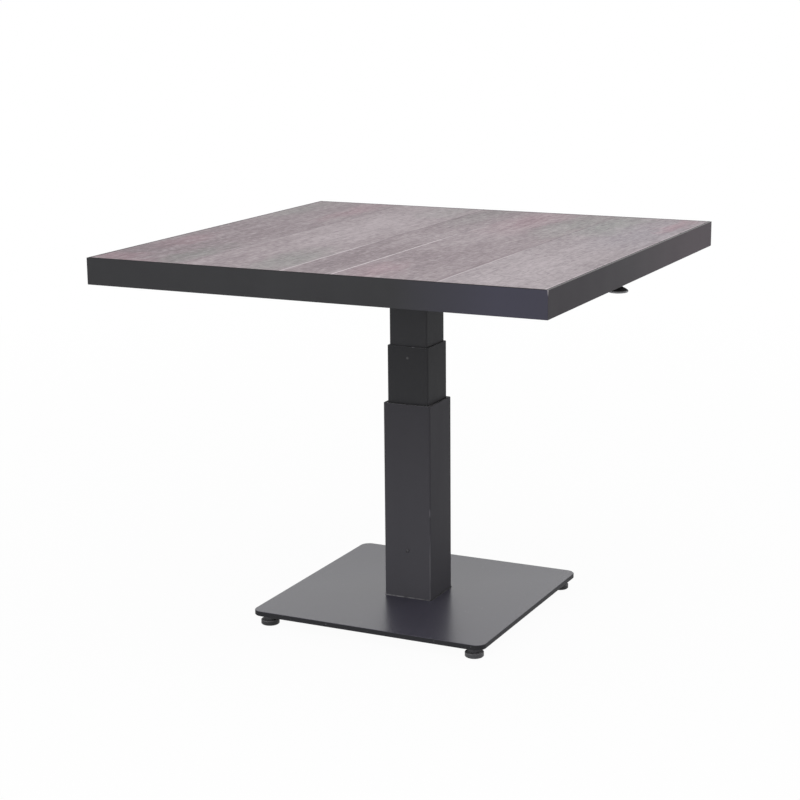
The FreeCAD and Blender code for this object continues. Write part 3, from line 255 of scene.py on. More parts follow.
def worked_steel(name, dark, light, rough, depth):
    """Plated or cast metal, clouded, with the fine marks of its making."""
    steel = Finish(name)
    cloud = steel.grain(0.008, detail=5, roughness=0.6)
    marks = steel.grain(0.0005, detail=3, roughness=0.6)
    steel.lay(
        Base_Color=steel.mix(steel.span(cloud, 0.3, 0.7), dark, light),
        Metallic=1.0,
        Roughness=steel.span(cloud * 0.6 + marks * 0.4, 0.3, 0.7, rough - 0.08, rough + 0.08),
        Normal=steel.relief(marks, depth),
    )
    return steel


def ease(width, *nodes):
    """Take the sharpness off the edges of parts that keep their shape."""
    for node in nodes:
        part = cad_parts[node]
        part.modifiers.new("join", "WELD").merge_threshold = 0.00001
        edge = part.modifiers.new("edge", "BEVEL")
        edge.width = width
        edge.segments = 2
        edge.angle_limit = radians(35)
        part.modifiers.new("shading", "WEIGHTED_NORMAL").keep_sharp = True


zinc_steel = worked_steel("zinc_steel", paint(158, 160, 165), paint(205, 207, 211), 0.34, 0.00001)
black_steel = powder_coat("black_steel", paint(26, 26, 28), paint(36, 36, 38), 0.42, 0.4, 0.002)
wear(black_steel, "column_foot_plate")
wear(zinc_steel, "column_bolts")
ease(0.0003, "column_foot_plate", "column_bolts")

# ---------------------------------------------------------------- outer tube
# Square steel tube, welded upright on the base plate. Its powder coat is matter than the
# plate's, and is chipped at the rim where the middle tube goes in.
tube_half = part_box("outer_tube")[1].x
outer_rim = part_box("outer_tube")[1].z
painted_highlight_up_to = 0.17
painted_glint_height = 0.21


def column_coat(name, dark, light, rim, knock, rubbed=0.0):
    """Matt powder coat with upright rub marks, chipped along its rim and at a knock.

    It is painted paler towards the foot and darker under the top, as light and shade, and
    its rim's top face is painted pale as light. If rubbed is given, the side that faces right
    is painted dark as shade from there outwards, and the corner at its front gets a painted
    highlight low down, with one painted glint above that.
    """
    coat = Finish(name)
    height = coat.axis("Z")
    cloud = coat.grain(0.05, 0.05, 0.3, detail=4)
    skin = coat.grain(0.0014, detail=3, roughness=0.6)
    rubs = coat.grain(0.0011, 0.0011, 0.09)
    flecks = coat.grain(0.0016, 0.0016, 0.0008, detail=1)
    struck = coat.reach(coat.place, (*knock, rim), (0.004, 0.003, 0.0024))
    knocked = coat.span(struck, 0.4, 1.0, 0.34, 0.0)
    chips = coat.span(height, rim - 0.0012, rim - 0.0004) * (flecks + knocked > 0.7)
    # Painted light and shade: paler towards the foot, darker up under the top.
    down = coat.span(height, rim, rim - 0.35)
    powder = coat.mix(cloud * 0.25 + skin * 0.15 + down * 0.65 - 0.1, dark, light)
    # Painted light: the rim's top face is made pale.
    painted_light_land = coat.span(height, rim - 0.0004, rim - 0.0001)
    powder = coat.mix(painted_light_land * 0.85, powder, paint(124, 123, 126))
    if rubbed:
        bare = paint(124, 123, 127)
        # Painted shade: the right side is darkened, less so low down.
        side = coat.span(coat.axis("X"), rubbed, rubbed + 0.001)
        powder = coat.mix(side * coat.span(down, 0, 1, 0.9, 0.4), powder, dark)
        # Painted highlight: a pale line down the front right corner, low down, and one glint
        # above it.
        corner = coat.reach(coat.place, (rubbed, -rubbed, 0), (0.0012, 0.0012, 1))
        painted_highlight = coat.span(corner, 0.6, 1.2, 0.6, 0) * coat.span(rubs, 0.4, 0.5)
        low_down = coat.span(height, painted_highlight_up_to, painted_highlight_up_to - 0.04)
        powder = coat.mix(painted_highlight * low_down, powder, bare)
        nick = coat.reach(coat.place, (rubbed, -rubbed, painted_glint_height), (0.0012, 0.0012, 0.009))
        powder = coat.mix(coat.span(nick, 0.7, 1.1, 0.5, 0), powder, bare)
    coat.lay(
        Base_Color=coat.mix(chips, powder, paint(134, 133, 136)),
        Roughness=coat.span(cloud * 0.5 + rubs * 0.5, 0.35, 0.65, 0.56, 0.66),
        Specular_IOR_Level=0.07,
        Normal=coat.relief(skin + rubs * 0.3, 0.00004),
    )
    return coat


outer_coat = column_coat(
    "outer_coat",
    paint(60, 59, 63),
    paint(81, 80, 85),
    outer_rim,
    knock=(tube_half, 0.02),
    # rubbed sets where the right side's painted shade and the corner's painted highlights lie.
    rubbed=tube_half - 0.0012,
)
wear(outer_coat, "outer_tube")

# ---------------------------------------------------------------- weld at the column's foot
# A 2 mm fillet weld runs round the outer tube where it meets the base plate. A wire feed
# lays it as a row of overlapping crescents, and only a thin coat goes over them.
tube_corner = 0.004
tube_core = tube_half - tube_corner
weld_leg = 0.002
weld_rows = 7
side_cuts = 319
crescents_to_a_side = 43
crescent = 2 * (tube_core + tube_corner * sqrt(0.5)) / crescents_to_a_side


def piece(name, form, finish, crease=35):
    """Make an object of a finished form, smooth all over but at its creases."""
    mesh = bpy.data.meshes.new(name)
    form.to_mesh(mesh)
    form.free()
    mesh.materials.append(finish.block)
    mesh.shade_smooth()
    mesh.set_sharp_from_angle(angle=radians(crease))
    made = bpy.data.objects.new(name, mesh)
    bpy.context.scene.collection.objects.link(made)
    return made


def draw_out(form, ring):
    """Extrude a ring of edges, and return the new ring and its points."""
    grown = bmesh.ops.extrude_edge_only(form, edges=ring)["geom"]
    edges = [part for part in grown if isinstance(part, bmesh.types.BMEdge)]
    points = [part for part in grown if isinstance(part, bmesh.types.BMVert)]
    return edges, points


def beside_tube(point):
    """The nearest point of the tube's wall, on the base plate, and the way out."""
    core = [max(-tube_core, min(tube_core, part)) for part in point.xy]
    away = (Vector((*point.xy, 0)) - Vector((*core, 0))).normalized()
    return Vector((*core, plate_top)) + away * tube_corner, away


def weld_skin(point, slope):
    """The weld's surface beside a point, at an angle up from its toe, crescents and all."""
    wall, away = beside_tube(point)
    if abs(wall.y) > abs(wall.x):
        along = -copysign(wall.x, wall.x * wall.y)
    else:
        along = copysign(wall.y, wall.x * wall.y)
    wave = abs(sin(pi * along / crescent + 0.7 * sin(2 * slope)))
    size = weld_leg * (0.78 + 0.14 * wave + 0.08 * noise.noise(wall * 90))
    return wall + size * cos(slope) * away + Vector((0, 0, size * sin(slope)))


weld = bmesh.new()
bmesh.ops.create_grid(weld, x_segments=1, y_segments=1, size=tube_half)
bmesh.ops.bevel(
    weld,
    geom=weld.verts[:],
    offset=tube_corner,
    segments=32,
    profile=0.5,
    affect="VERTICES",
    material=-1,
)
bmesh.ops.delete(weld, geom=weld.faces[:], context="FACES_ONLY")
sides = [edge for edge in weld.edges if edge.calc_length() > tube_half]
bmesh.ops.subdivide_edges(weld, edges=sides, cuts=side_cuts)
for point in weld.verts:
    point.co = weld_skin(point.co, pi / 2)
ring = weld.edges[:]
for row in range(1, weld_rows + 1):
    ring, points = draw_out(weld, ring)
    for point in points:
        point.co = weld_skin(point.co, pi / 2 * (1 - row / weld_rows))
ring, points = draw_out(weld, ring)
for point in points:
    point.co = beside_tube(point.co)[0]
ring, points = draw_out(weld, ring)
for point in points:
    point.co = weld_skin(point.co, pi / 2)
bmesh.ops.remove_doubles(weld, verts=weld.verts, dist=0.000001)
bmesh.ops.recalc_face_normals(weld, faces=weld.faces)


def weld_coat():
    """A coat so thin that patches of metal show through, fewer towards the right, and none on the
    right side, which is painted dark as shade.
    """
    metal = Finish("weld_metal")
    across = metal.axis("X")
    scale = metal.grain(0.0006, detail=3, roughness=0.6)
    patches = metal.span(metal.grain(0.011, detail=3, roughness=0.6), 0.3, 0.5)
    # Painted shade: no metal and a darker coat on the right side, and fewer patches towards it.
    thin = metal.span(across, tube_half - 0.0015, tube_half - 0.0005, 1, 0)
    bare = thin * patches * metal.span(across, -0.03, 0.04, 1.0, 0.6)
    right = metal.span(across, tube_half - 0.003, tube_half)
    coated = metal.mix(right, paint(63, 62, 66), paint(20, 20, 22))
    metal.lay(
        Base_Color=metal.mix(bare, coated, paint(112, 111, 114)),
        Metallic=bare * 0.3,
        Specular_IOR_Level=0.25,
        Roughness=metal.span(scale, 0.3, 0.7, 0.4, 0.6),
        Normal=metal.relief(scale, 0.00003),
    )
    return metal


weld_metal = weld_coat()
foot_weld = piece("foot_weld", weld, weld_metal, crease=60)
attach(foot_weld, "base")
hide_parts("foot_bead")

# ---------------------------------------------------------------- stop screws and rollers
# A black button-head screw with a hexagon socket goes through the front and the back of
# the outer tube. Inside, each carries a nylon roller that catches the middle tube.
screw_above_plate = 0.0968
screw_radius = 0.003
screw_head = 0.0038
screw_crown = 0.002
screw_length = 0.008
socket_radius = 0.0018
socket_flats = 0.003
socket_floor = screw_crown - 0.0013


def turned(profile, steps=48):
    """Spin a profile of (radius, height) points about Z, from axis to axis."""
    form = bmesh.new()
    points = [form.verts.new((radius, 0, height)) for radius, height in profile]
    rail = [form.edges.new(pair) for pair in zip(points, points[1:])]
    bmesh.ops.spin(
        form,
        geom=points + rail,
        cent=(0, 0, 0),
        axis=(0, 0, 1),
        dvec=(0, 0, 0),
        angle=tau,
        steps=steps,
        use_merge=True,
    )
    bmesh.ops.remove_doubles(form, verts=form.verts, dist=0.000001)
    bmesh.ops.recalc_face_normals(form, faces=form.faces)
    return form


def at_radius(form, radius):
    """The points of a turned form at one radius."""
    return [vert for vert in form.verts if abs(hypot(*vert.co.xy) - radius) < 0.00001]


def hexagonal(form, radius, flats):
    """Draw every ring of one radius in to a hexagon of a width across its flats."""
    for vert in at_radius(form, radius):
        turn = atan2(vert.co.y, vert.co.x) % (tau / 6) - tau / 12
        vert.co.xy *= flats / 2 / cos(turn) / radius


def repeated(form, places):
    """A form that holds a copy of another at each place. The other is used up."""
    mould = bpy.data.meshes.new("mould")
    form.to_mesh(mould)
    form.free()
    row = bmesh.new()
    for place in places:
        copy = mould.copy()
        copy.transform(place)
        row.from_mesh(copy)
        bpy.data.meshes.remove(copy)
    bpy.data.meshes.remove(mould)
    return row


screw = turned(
    [
        (0, socket_floor),
        (socket_radius, socket_floor),
        (socket_radius, screw_crown),
        (0.0024, screw_crown),
        (0.0031, 0.0017),
        (0.0036, 0.0011),
        (screw_head, 0.0004),
        (screw_head, 0),
        (screw_radius, 0),
        (screw_radius, 0.0004 - screw_length),
        (screw_radius - 0.0004, -screw_length),
        (0, -screw_length),
    ],
    steps=36,
)
hexagonal(screw, socket_radius, socket_flats)
screw_places = [
    Matrix.Translation((0, facing * tube_half, plate_top + screw_above_plate))
    @ Matrix.Rotation(-facing * pi / 2, 4, "X")
    for facing in (-1, 1)
]
screw_coat = powder_coat("screw_coat", paint(66, 65, 69), paint(75, 74, 78), 0.45, 0.3, 0.002)
screw_pair = piece("stop_screw_pair", repeated(screw, screw_places), screw_coat)
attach(screw_pair, "base")
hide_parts("stop_screws")


def moulded(name, dark, light, rough, grain=0.0008):
    """Moulded plastic or rubber, with the fine spark texture of its mould."""
    plastic = Finish(name)
    spark = plastic.grain(grain, detail=3, roughness=0.7)
    flow = plastic.grain(0.02, detail=3)
    plastic.lay(
        Base_Color=plastic.mix(plastic.span(flow, 0.3, 0.7), dark, light),
        Roughness=plastic.span(flow + spark, 0.7, 1.3, rough - 0.05, rough + 0.05),
        Normal=plastic.relief(spark, 0.00002),
    )
    return plastic


black_plastic = moulded("black_plastic", paint(24, 24, 26), paint(36, 36, 38), 0.45)
wear(black_plastic, "stop_rollers")

# ---------------------------------------------------------------- landing bumper
# A block of black rubber on the foot plate, which the inner tube lands on when the table
# is lowered.
black_rubber = moulded("black_rubber", paint(22, 22, 22), paint(31, 31, 31), 0.75, grain=0.002)
wear(black_rubber, "landing_bumper")

# ---------------------------------------------------------------- gas spring
# The cylinder is black enamelled steel, closed by a plastic gland. A hard-chromed rod
# comes up out of it, with a steel piston and a rubber seal on its lower end.
wear(black_steel, "gas_cylinder")
wear(black_plastic, "cylinder_gland")
wear(zinc_steel, "piston")
wear(black_rubber, "piston_seal")

chrome = Finish("bright_chrome")
polish = chrome.grain(0.0004, 0.0004, 0.02, detail=3)
chrome.lay(
    Base_Color=chrome.mix(polish, paint(205, 207, 211), paint(222, 223, 226)),
    Metallic=1.0,
    Roughness=chrome.span(polish, 0.3, 0.7, 0.06, 0.12),
)
wear(chrome, "piston_rod")

# ---------------------------------------------------------------- middle tube
# The middle stage runs on moulded sleeves, one fixed in the outer tube's rim and one
# round its own foot. Its colours are set darker than the outer tube's.


def sleeve(name, top):
    """Black sliding plastic, its front top edge painted pale grey as light."""
    plastic = Finish(name)
    spark = plastic.grain(0.0008, detail=3, roughness=0.7)
    edge = plastic.span(plastic.axis("Z"), top - 0.003, top - 0.001)
    # Painted light: the front top edge is made pale grey.
    greyed = edge * plastic.span(plastic.axis("Y"), -0.03, -0.036)
    black = plastic.mix(spark, paint(34, 34, 36), paint(44, 44, 46))
    plastic.lay(
        Base_Color=plastic.mix(greyed, black, paint(160, 159, 163)),
        Roughness=plastic.span(spark, 0.3, 0.7, 0.45, 0.55),
        Normal=plastic.relief(spark, 0.00002),
    )
    return plastic


middle_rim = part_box("middle_tube")[1].z
middle_coat = column_coat(
    "middle_coat", paint(49, 49, 51), paint(66, 66, 68), middle_rim, knock=(0.012, -0.0435)
)
wear(middle_coat, "middle_tube")
wear(sleeve("outer_sleeve_plastic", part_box("outer_guide_sleeve")[1].z), "outer_guide_sleeve")
wear(black_plastic, "middle_lower_sleeve")

# ---------------------------------------------------------------- inner tube
# The inner stage carries the top. It runs in the middle tube's sleeve, and a steel bridge
# is welded across it for the gas spring's rod, which is held by two nuts.
inner_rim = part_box("inner_tube")[1].z
inner_coat = column_coat(
    "inner_coat", paint(52, 52, 54), paint(62, 62, 64), inner_rim, knock=(0.04, -0.04)
)
wear(inner_coat, "inner_tube")
wear(sleeve("middle_sleeve_plastic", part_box("middle_guide_sleeve")[1].z), "middle_guide_sleeve")
wear(black_plastic, "inner_lower_sleeve")
wear(black_steel, "rod_bridge")
wear(zinc_steel, "rod_nuts")
wear(weld_metal, "head_bead")
ease(0.0004, "rod_bridge")

# ---------------------------------------------------------------- mount plate and beams
# A square plate on the column's head is bolted up to two flat steel tubes under the
# panel, through washers and into nuts welded inside the tubes.
beam_coat = powder_coat("beam_coat", paint(46, 46, 48), paint(53, 53, 56), 0.55, 0.14)
wear(black_steel, "mount_plate")
wear(zinc_steel, "mount_bolts", "mount_washers", "weld_nuts")
wear(beam_coat, "left_support_beam", "right_support_beam")
ease(0.0004, "left_support_beam", "right_support_beam")

# ---------------------------------------------------------------- frame
# Four aluminium extrusions, mitred, and drawn together by cast cleats in the corners.
# Each stands up round the panel in a thin lip. A fine seam shows at each mitre.
frame_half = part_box("right_frame_bar")[1].x
frame_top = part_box("right_frame_bar")[1].z


def bar_coat():
    """Matt anthracite powder, with painted light and shade on some bars.

    The front bar has a painted bluish reflection at its right end, and the right one is painted
    warmer, with painted shade at the front and painted light at the back. The lips' top faces
    are darker, with a gloss on the side bars. The front right top corner has a painted highlight.
    """
    coat = Finish("frame_coat")
    across = coat.axis("X")
    deep = coat.axis("Y")
    skin, tone = powder_skin(coat)
    powder = coat.mix(tone, paint(45, 45, 47), paint(52, 52, 54))
    # Painted reflection: the front bar is bluer at its right end.
    front = coat.span(deep, 0.01 - frame_half, 0.005 - frame_half)
    powder = coat.mix(front * coat.span(across, 0.17, 0.36), powder, paint(60, 59, 71))
    # Painted light and shade on the right bar: warmer, darker at the front, paler at the back.
    right = coat.span(across, frame_half - 0.0005, frame_half - 0.0001)
    powder = coat.mix(right * 0.8, powder, paint(50, 46, 51))
    powder = coat.mix(right * coat.span(deep, 0.0, -0.3), powder, paint(39, 35, 41))
    powder = coat.mix(right * coat.span(deep, -0.05, 0.3), powder, paint(66, 58, 64))
    lip = coat.span(coat.axis("Z"), frame_top - 0.0007, frame_top - 0.0003)
    # The lips' top faces are made darker, the side lips a little warmer.
    powder = coat.mix(lip, powder, paint(30, 29, 31))
    side_lip = lip * coat.span(abs(across), frame_half - 0.0032, frame_half - 0.0028)
    powder = coat.mix(side_lip, powder, paint(52, 44, 49))
    # Painted highlight: a pale spot on the front right top corner.
    corner = (frame_half, -frame_half, frame_top)
    knock = coat.reach(coat.place, corner, (0.0014, 0.0014, 0.01))
    coat.lay(
        Base_Color=coat.mix(coat.span(knock, 0.6, 1.1, 0.8, 0), powder, paint(160, 155, 158)),
        Roughness=coat.span(tone, 0, 1, 0.52, 0.58) + lip * 0.2,
        Specular_IOR_Level=0.14,
        Coat_Weight=side_lip,
        Coat_Roughness=0.27,
        Coat_IOR=1.5,
        Normal=coat.relief(skin, peel_depth),
    )
    return coat


bars = [f"{side}_frame_bar" for side in ("front", "right", "back", "left")]
wear(bar_coat(), *bars)
cast_alloy = worked_steel("cast_alloy", paint(150, 151, 155), paint(188, 189, 192), 0.5, 0.00003)
wear(cast_alloy, "corner_cleats")
ease(0.0002, *bars)

# ---------------------------------------------------------------- panel
# Compact laminate board, printed and pressed as five weathered planks with a rough-sawn
# grain. The joints between the planks are shallow V-grooves.
panel_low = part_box("top_panel")[0].z
panel_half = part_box("top_panel")[1].x
joints = (-0.25, -0.05, 0.05, 0.25)


def stained_planks(board, across):
    """The colour of five planks, each with its own ragged, soft-edged stains."""
    pink = paint(176, 124, 139)
    moss = paint(131, 146, 136)
    dusk = paint(118, 103, 109)
    pale = paint(192, 182, 186)
    lilac = paint(153, 150, 160)
    # A stain is its colour, its strength, its middle in X and Y, and its size along them.
    planks = (
        (paint(151, 139, 143), [
            (moss, 0.5, -0.42, 0.3, 0.04, 0.18),
            (pink, 0.45, -0.3, 0.33, 0.035, 0.17),
            (dusk, 0.5, -0.34, -0.04, 0.13, 0.2),
            (pink, 0.4, -0.4, -0.19, 0.035, 0.12),
            (dusk, 1.0, -0.38, -0.34, 0.16, 0.16),
            (pink, 0.4, -0.4, -0.42, 0.09, 0.05),
            (dusk, 0.15, -0.41, -0.42, 0.08, 0.1),
            (pale, 0.14, -0.35, 0.36, 0.16, 0.34),
            (moss, 0.6, -0.29, -0.34, 0.04, 0.14),
        ]),
        (paint(160, 148, 152), [
            (pale, 0.7, -0.15, 0.1, 0.1, 0.3),
            (moss, 0.4, -0.11, 0.39, 0.06, 0.12),
            (moss, 0.6, -0.09, -0.33, 0.05, 0.17),
            (dusk, 0.4, -0.18, -0.4, 0.06, 0.14),
            (pale, 0.3, -0.16, 0.42, 0.14, 0.24),
        ]),
        (paint(150, 138, 142), [
            (moss, 0.35, -0.02, 0.35, 0.05, 0.18),
            (pale, 0.12, 0.0, 0.38, 0.06, 0.2),
            (pale, 0.3, 0.01, 0.05, 0.04, 0.15),
            (dusk, 0.6, 0.0, -0.25, 0.06, 0.18),
        ]),
        (paint(156, 144, 148), [
            (pink, 0.4, 0.11, 0.29, 0.06, 0.22),
            (moss, 0.6, 0.215, 0.3, 0.05, 0.2),
            (pale, 0.5, 0.1, 0.09, 0.06, 0.15),
            (dusk, 0.6, 0.14, -0.2, 0.1, 0.15),
            (pink, 0.4, 0.1, -0.38, 0.05, 0.1),
        ]),
        (paint(162, 152, 156), [
            (moss, 0.7, 0.28, 0.33, 0.06, 0.2),
            (lilac, 0.6, 0.38, 0.2, 0.08, 0.22),
            (pink, 0.6, 0.405, 0.36, 0.02, 0.14),
            (pale, 0.6, 0.34, -0.24, 0.1, 0.3),
        ]),
    )
    drift = board.node(
        "ShaderNodeCombineXYZ",
        {},
        {
            "X": (board.grain(0.05, 0.1, 0.1, detail=4, roughness=0.65) - 0.5) * 0.1,
            "Y": (board.grain(0.04, 0.08, 0.1, detail=4, seed=3.0) - 0.5) * 0.2,
        },
    )
    ragged = board.moved(board.place, drift)
    stained = []
    for colour, stains in planks:
        for stain, strength, x, y, wide, long in stains:
            away = board.reach(ragged, (x, y, 0), (wide, long, 1))
            colour = board.mix(board.span(away, 0.3, 1.4, strength, 0), colour, stain)
        stained.append(colour)
    decor, *others = stained
    for joint, colour in zip(joints, others):
        decor = board.mix(across > joint, decor, colour)
    return decor


def sawn_grain(board, across):
    """Clouds, saw marks, streaks, pores and dashes. Each plank has its own stretch of them."""
    plank = sum(across > joint for joint in joints)
    shift = board.node("ShaderNodeCombineXYZ", {}, {"Y": plank * 1.7, "Z": plank * 0.9})
    wood = board.moved(board.place, shift)
    clouds = board.grain(0.03, 0.15, 0.2, detail=4, roughness=0.6, place=wood)
    marks = board.grain(0.01, 0.014, 0.02, detail=2, place=wood)
    streaks = board.grain(0.004, 0.07, 0.2, detail=4, roughness=0.65, place=wood)
    pores = board.grain(0.0008, 0.03, 0.02, detail=3, roughness=0.7, place=wood)
    dashes = board.grain(0.0018, 0.022, 0.006, detail=2, place=wood)
    return clouds, marks, streaks, pores, dashes


def pale_lined_joints(board, decor, across, along, marks):
    """Dirt beside the last joint, and dark grooves that are pale along a part."""
    beside_last = abs(across - (joints[3] - 0.006))
    dirt = board.span(beside_last, 0.002, 0.008, 0.5, 0) * board.span(along, 0.1, -0.1)
    decor = board.mix(dirt * (marks > 0.48), decor, paint(118, 103, 109))
    # How pale each is at the front and at the back, and where the one fades to the other.
    rubbed = ((0.1, 0.1, 0.0), (0.9, 0.0, -0.09), (1.0, 0.15, 0.05), (0.7, 0.05, -0.08))
    for joint, (front, back, change) in zip(joints, rubbed):
        groove = board.span(abs(across - joint), 0.0008, 0.0018, 1, 0)
        decor = board.mix(groove * 0.4, decor, paint(100, 91, 96))
        pale = groove * board.span(along, change - 0.06, change + 0.08, front, back)
        decor = board.mix(pale, decor, paint(226, 217, 221))
    return decor


def edge_highlight_and_core(board, decor, across, along, marks):
    """A painted highlight line beside the right edge, and edges that bare the dark core, with a
    wider dark band along the back.
    """
    # Painted highlight: a broken pale line just in from the right edge.
    beside_right = abs(across - (panel_half - 0.0043))
    painted_highlight = board.span(beside_right, 0.0008, 0.0014, 0.5, 0) * (marks > 0.42)
    decor = board.mix(painted_highlight, decor, paint(222, 214, 217))
    outwards = board.math("MAXIMUM", abs(across), abs(along))
    outwards = board.math("MAXIMUM", outwards, along + 0.0022)
    core = board.span(outwards, panel_half - 0.0028, panel_half - 0.0023)
    return board.mix(core, decor, paint(52, 46, 49))


def weathered_planks():
    """Greyed oak decor: stained planks, saw-marked, over a plain dark back."""
    board = Finish("panel_laminate")
    across = board.axis("X")
    along = board.axis("Y")
    clouds, marks, streaks, pores, dashes = sawn_grain(board, across)
    figure = clouds * 0.4 + marks * 0.55 + streaks * 0.55 + pores * 0.5
    decor = stained_planks(board, across)
    decor = board.mix(board.span(figure, 0.7, 1.0, 0.62, 0), decor, paint(104, 95, 100))
    decor = board.mix(board.span(figure, 1.0, 1.3, 0, 0.52), decor, paint(208, 198, 202))
    decor = pale_lined_joints(board, decor, across, along, marks)
    decor = board.mix(board.span(dashes, 0.26, 0.42, 0.55, 0), decor, paint(92, 82, 88))
    decor = board.mix(board.span(dashes, 0.62, 0.78, 0, 0.4), decor, paint(216, 208, 211))
    decor = edge_highlight_and_core(board, decor, across, along, marks)
    backing = board.mix(clouds, paint(58, 54, 56), paint(72, 68, 70))
    under = board.span(board.axis("Z"), panel_low + 0.0004, panel_low + 0.0008, 1, 0)
    board.lay(
        Base_Color=board.mix(under, decor, backing),
        Roughness=board.span(figure, 0.8, 1.2, 0.66, 0.54),
        Specular_IOR_Level=0.22,
        Normal=board.relief(pores + streaks * 0.5 + marks * 0.5, 0.0001),
    )
    return board


wear(weathered_planks(), "top_panel")

# ---------------------------------------------------------------- panel fixings
# Eight folded zinc-plated angles hold the panel: each is riveted to the inside of a frame
# bar and screwed up into the board. The screws are cross-headed, the rivets blind.
wear(zinc_steel, "panel_brackets")
ease(0.0003, "panel_brackets")

bar_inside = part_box("front_frame_bar")[1].y
bracket_steel = 0.002
bracket_offset = 0.22
bracket_hole = 0.015
pan_head = 0.004
pan_shank = 0.002
pan_length = 0.0065
pan_slot = 0.0022
pan_slot_floor = 0.0012


def cross_slot(form, radius, width):
    """Draw every ring of one radius in to a cross of four slots."""
    for vert in at_radius(form, radius):
        turn = (atan2(vert.co.y, vert.co.x) + tau / 8) % (tau / 4) - tau / 8
        vert.co.xy *= min(1, width / 2 / max(abs(sin(turn)), 0.01) / radius)


def at_brackets(y, z, turn=0):
    """A place at each of the eight brackets, from where it is on the front ones."""
    return [
        Matrix.Rotation(pi / 2 * quarter, 4, "Z")
        @ Matrix.Translation((x, y, z))
        @ Matrix.Rotation(turn, 4, "X")
        for quarter in range(4)
        for x in (-bracket_offset, bracket_offset)
    ]


pan = turned(
    [
        (0, -0.0005),
        (pan_slot_floor, -0.0007),
        (pan_slot, -0.0021),
        (0.0029, -0.0021),
        (0.0036, -0.0016),
        (pan_head, -0.0008),
        (pan_head, 0),
        (pan_shank, 0),
        (pan_shank, pan_length - 0.001),
        (0.0008, pan_length),
        (0, pan_length),
    ]
)
cross_slot(pan, pan_slot, 0.0011)
cross_slot(pan, pan_slot_floor, 0.0009)
screw_sites = at_brackets(bar_inside + bracket_hole, panel_low - bracket_steel)
screws = piece("panel_screw_set", repeated(pan, screw_sites), zinc_steel)
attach(screws, "top_stage")
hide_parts("panel_screws")

rivet_head = 0.0035
rivet_shank = 0.0016
rivet_length = 0.0055
dome = turned(
    [
        (0, 0.0009),
        (0.0009, 0.0009),
        (0.001, 0.0004),
        (0.0012, 0.0004),
        (0.0013, 0.0012),
        (0.0022, 0.0011),
        (0.003, 0.0007),
        (rivet_head, 0.0002),
        (rivet_head, 0),
        (rivet_shank, 0),
        (rivet_shank, -rivet_length),
        (0, -rivet_length),
    ]
)
rivet_sites = at_brackets(bar_inside + bracket_steel, panel_low - bracket_hole, turn=-pi / 2)
rivets = piece("blind_rivet_set", repeated(dome, rivet_sites), cast_alloy)
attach(rivets, "top_stage")
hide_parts("bracket_rivets")

# ---------------------------------------------------------------- release lever
# A cast rocker turns on a pin in a folded bracket and presses the gas spring's valve pin.
# A black steel rod runs from it under the top to the knob.
wear(black_steel, "lever_bracket", "lever_rod")
wear(zinc_steel, "lever_pivot_pin", "release_pin")
wear(cast_alloy, "lever_rocker")
wear(black_rubber, "lever_buffer")
ease(0.0003, "lever_bracket", "lever_rocker")

# ---------------------------------------------------------------- knob
# Dark mushroom knob of glossy plastic, moulded on to the end of the rod. A plain band
# goes round its rim. The band and the underside are painted paler, as a highlight.
low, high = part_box("release_knob")
knob_radius = (high.y - low.y) / 2
knob_height = high.z - low.z
band_low = 0.0022
band_high = 0.0039


def knob_plastic(bottom):
    """Glossy dark plastic, painted paler as a highlight up to the top of its band."""
    plastic = Finish("knob_plastic")
    flow = plastic.grain(0.02, detail=3)
    body = plastic.mix(flow, paint(46, 46, 48), paint(56, 56, 58))
    # Painted highlight: the underside and the band are made pale.
    rubbed = plastic.span(plastic.axis("Z"), bottom + 0.0055, bottom + 0.004)
    plastic.lay(
        Base_Color=plastic.mix(rubbed, body, paint(116, 116, 119)),
        Roughness=plastic.span(flow, 0.3, 0.7, 0.24, 0.32),
    )
    return plastic


mushroom = turned(
    [
        (0, 0),
        (0.0138, 0),
        (0.0172, 0.0007),
        (0.0184, 0.0011),
        (0.019, 0.0016),
        (knob_radius, band_low),
        (knob_radius, band_high),
        (0.0189, 0.0045),
        (0.0182, 0.005),
        (0.0166, 0.0062),
        (0.0146, 0.0075),
        (0.0124, 0.0088),
        (0.0102, 0.01),
        (0.0087, 0.0109),
        (0.0081, 0.0116),
        (0.0079, 0.0126),
        (0.0066, knob_height - 0.0003),
        (0.0063, knob_height),
        (0, knob_height),
    ],
    steps=96,
)
bmesh.ops.translate(mushroom, verts=mushroom.verts, vec=((low.x + high.x) / 2, 0, low.z))
knob = piece("mushroom_knob", mushroom, knob_plastic(low.z))
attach(knob, "release_lever")
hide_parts("release_knob")

# ---------------------------------------------------------------- levelling feet
# Each foot is a zinc-plated M10 stud with a flange, screwed up into its boss. A dark
# plastic glide is pressed over the flange. The glides' upper faces are painted pale as
# light, and the front right glide is a paler copy, painted as lit.
stud_radius = 0.005
thread_pitch = 0.0015
thread_root = stud_radius - 0.61 * thread_pitch
flange_radius = 0.01
flange_top = 0.008
glide_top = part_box("front_left_foot_pad")[1].z


